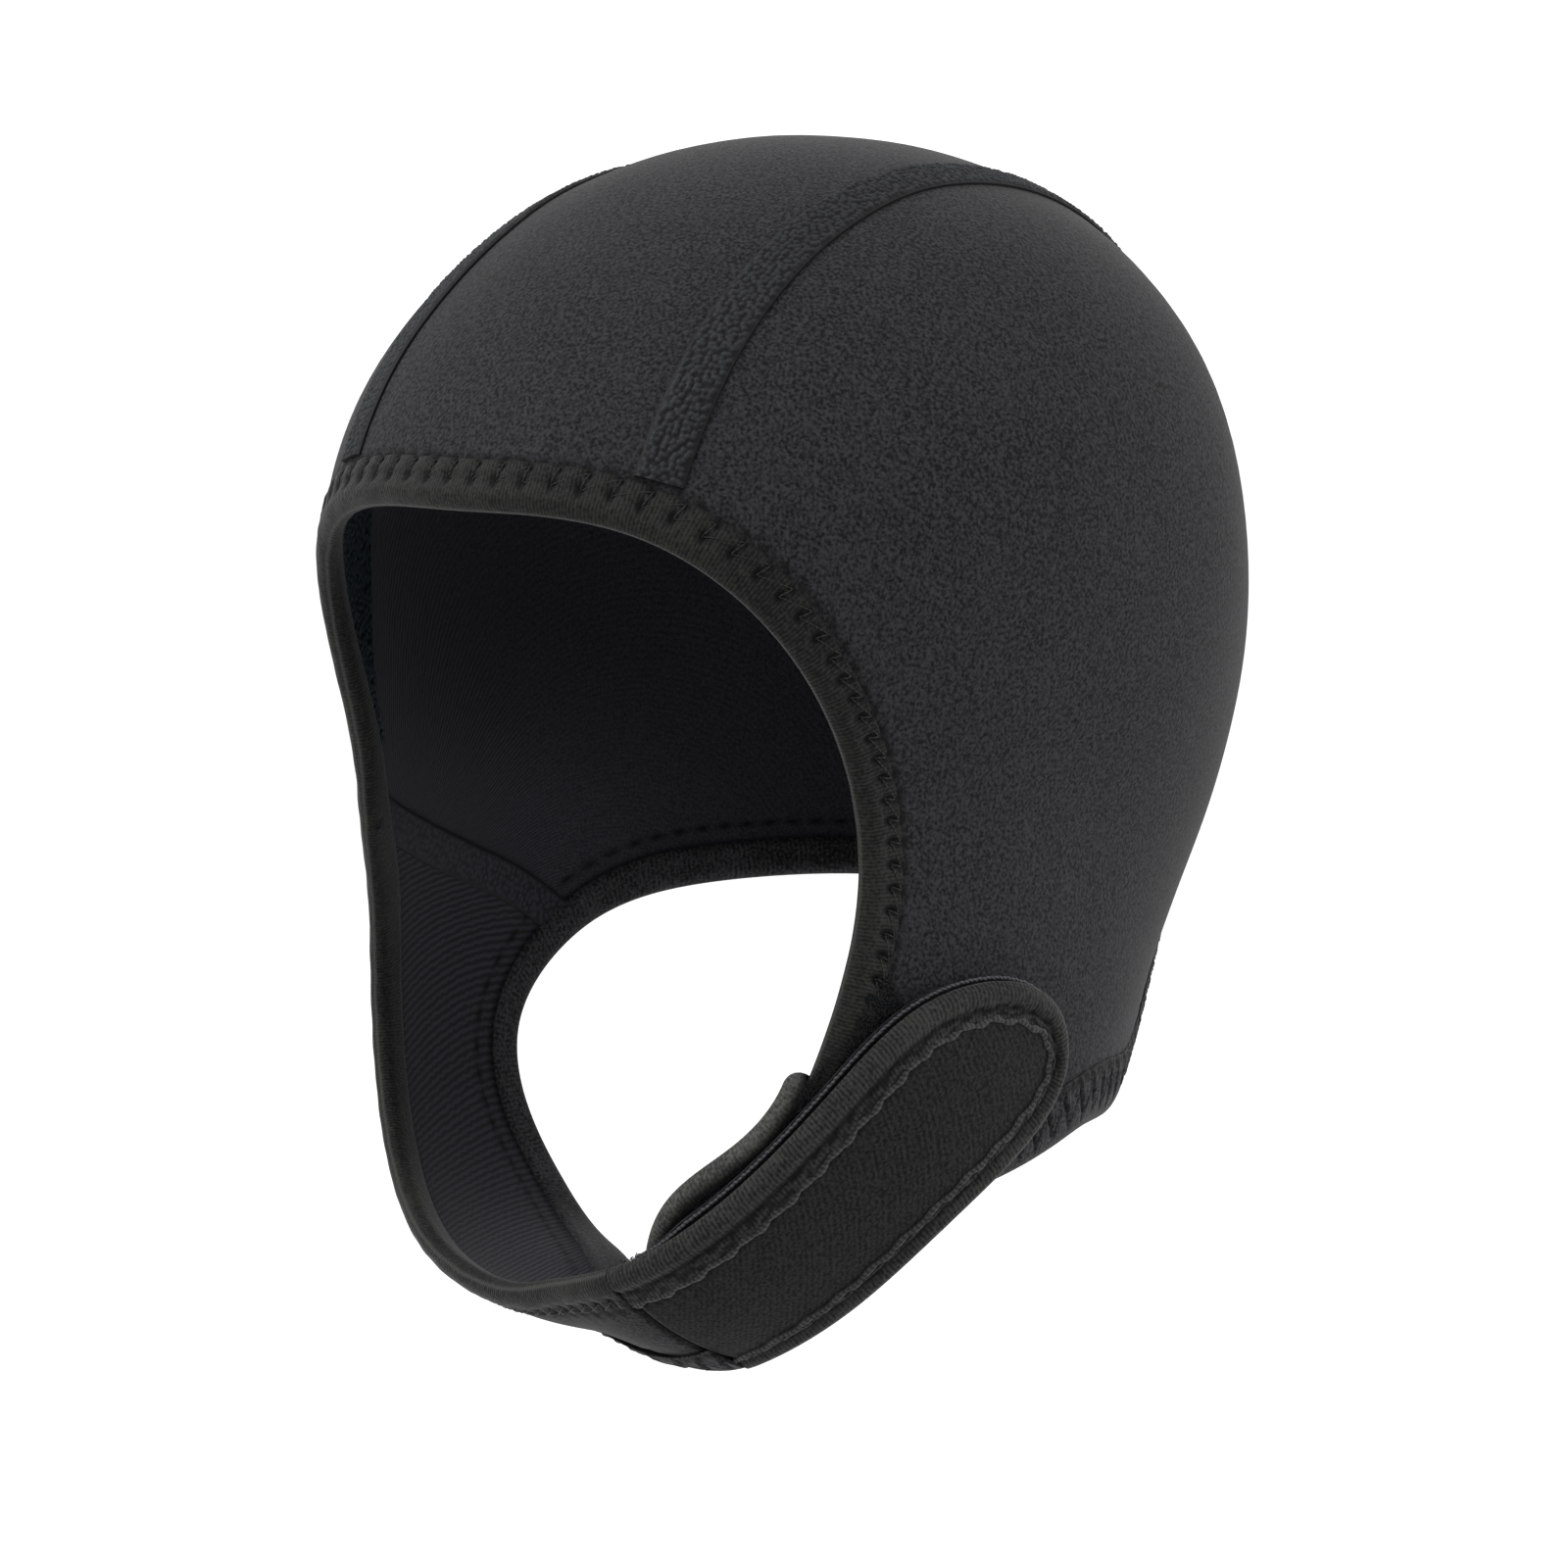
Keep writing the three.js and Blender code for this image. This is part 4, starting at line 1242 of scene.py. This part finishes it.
loop_left = under_strap(0.2, strap_upper, 0.22, 0.91)
loop_right = under_strap(9.0, strap_lower, 0.3, 0.88)
loop_start, loop_end = line(loop_left(0.0), loop_right(0.0)), line(loop_left(1.0), loop_right(1.0))
patch(
    "loop_patch_pile",
    "loop_patch",
    (loop_start, loop_end, loop_left, loop_right),
    lambda d: sunk(d) + LOOP_TOP,
    loop_pile,
)


def fibres(name, roots, base, tall, material, seed, rings=5, thick=0.11):
    """Loops of pile at the directions `roots`: each goes up and down again as half a sine, to a
    seeded side and with a curl across it, as a thin square tube of a few rings."""
    rng = np.random.default_rng(seed)
    n = len(roots)
    t = np.linspace(0, 1, rings)[None]
    turn, reach = rng.uniform(0, 2 * math.pi, (n, 1)), rng.uniform(0.4, 1.6, (n, 1))
    ahead, aside = reach * (t - 0.5), rng.uniform(-0.6, 0.6, (n, 1)) * np.sin(2 * math.pi * t)
    x, y = ahead * np.cos(turn) - aside * np.sin(turn), ahead * np.sin(turn) + aside * np.cos(turn)
    one = unit(np.cross(roots, UP))
    two = np.cross(roots, one)
    d = unit(on_form(roots)[:, None] + one[:, None] * x[..., None] + two[:, None] * y[..., None])
    path = place(d, base(d) + rng.uniform(0.3, 1, (n, 1)) * tall * np.sin(math.pi * t) - 0.1)
    corner = np.array([[1, 1], [-1, 1], [-1, -1], [1, -1]]) * thick / 2
    points = path[:, :, None] + one[:, None, None] * corner[:, :1] + UP * corner[:, 1:]
    faces = tube_faces(rings, 4)[None] + (np.arange(n) * rings * 4)[:, None, None]
    sewn_in(mesh_of(name, points.reshape(-1, 3), faces.reshape(-1, 4), [material]))


S, A = np.meshgrid(np.linspace(0.62, 1.0, 90), np.linspace(-6.2, 2.0, 40), indexing="ij")
cheek_d = beside(strap_upper, S, np.where(A < 0, A * (0.75 + 0.75 * ramp(S, 0.8, 0.98)), A))
cheek_top = level(cheek_d) + 0.3 + 0.12 * waves(on_form(cheek_d), 2.2)
cheek_top -= 0.6 * ramp(S + 0.02 * waves(on_form(cheek_d), 3.0, 5), 0.93, 1.0)  # it thins out
cheek_pile = cloth("cheek_loop_pile", cheek_d, cheek_top, level(cheek_d) - 0.2, [loop_pile, loop_pile])
sewn_in(cheek_pile)
stretched(cheek_d)

rng = np.random.default_rng(31)
fibre = thread("loop_fibre", "#050708", "#1d2428")
across, down = rng.uniform(0, 1, 2600), rng.uniform(0, 1, 2600)
flap_top = run(FLAP_EDGE, "cheek, face", "tip, face")(down)
strap_top = run(EDGE, "tab, face", "chin, face")(down)
roots = unit(flap_top * (1 - across[:, None]) + strap_top * across[:, None])
roots = roots[near(roots, flap_run)[0] > 2.8]  # none on the flap's roll
fibres("flap_loop_fibres", roots, lambda d: sunk(d) + 0.15, 0.9, fibre, 5)
picked = rng.uniform(0, 1, (900, 2))
away = -1.0 - (4.0 + 4.0 * picked[:, 0] ** 3) * picked[:, 1]
roots = beside(strap_upper, 0.62 + 0.37 * picked[:, 0], away)
fibres("cheek_loop_fibres", roots, lambda d: level(d) + 0.3, 1.0, fibre, 7)

# Studio

# A white paper floor below the hood, a white room, and soft lights above and behind. The
# camera stands where the photograph was taken, 0.7 m from the middle of the head.

FLOOR = [(-6, -6), (6, -6), (6, 6), (-6, 6)]  # its corners, in metres
BELOW_CROWN = 0.62  # in metres
floor_mesh = bpy.data.meshes.new("floor")
floor_mesh.from_pydata([(x, y, -BELOW_CROWN) for x, y in FLOOR], [], [(0, 1, 2, 3)])
floor = bpy.data.objects.new("floor", floor_mesh)
bpy.context.scene.collection.objects.link(floor)
paper = bpy.data.materials.new("white_paper")
paper.use_nodes = True
white = {"Base Color": srgb("#ffffff"), "Roughness": 0.9}
matt = add(paper.node_tree, "ShaderNodeBsdfPrincipled", white)
add(paper.node_tree, "ShaderNodeOutputMaterial", {"Surface": matt.outputs[0]})
floor_mesh.materials.append(paper)

world = bpy.data.worlds.new("studio")
bpy.context.scene.world = world
world.use_nodes = True
room = world.node_tree.nodes["Background"].inputs
room["Color"].default_value, room["Strength"].default_value = srgb("#ffffff"), 1.3
bpy.context.scene.view_settings.view_transform = "Standard"


def aim(name, data, azimuth, elevation, distance):
    """An object at a direction and a distance in metres from the head's middle, turned to it."""
    piece = bpy.data.objects.new(name, data)
    bpy.context.scene.collection.objects.link(piece)
    away = direction(azimuth, elevation)
    piece.location = CENTRE / MM + away * distance
    piece.rotation_euler = Vector(away).to_track_quat("Z", "Y").to_euler()
    return piece


# Columns: name, azimuth, elevation, metres away, and watts.
LIGHTS = [("key", -35, 46, 1.2, 17), ("back_left", 122, 18, 1.1, 11)]
for name, azimuth, elevation, distance, power in LIGHTS:
    soft_light = bpy.data.lights.new(name, "AREA")
    soft_light.size, soft_light.energy = 0.8, power
    aim(name, soft_light, azimuth, elevation, distance)

FRAME = 1600  # the photograph's width and height in pixels
FOCAL = 3584  # its focal length in pixels
ASIDE, BELOW = 15.5, 63  # pixels from the head's middle to the photograph's
camera_data = bpy.data.cameras.new("camera")
camera_data.sensor_width = 36
camera_data.lens = FOCAL / FRAME * camera_data.sensor_width
camera_data.shift_x, camera_data.shift_y = -ASIDE / FRAME, -BELOW / FRAME
camera_data.clip_end = 50
bpy.context.scene.camera = aim("camera", camera_data, 38.7, 9.3, 0.7)
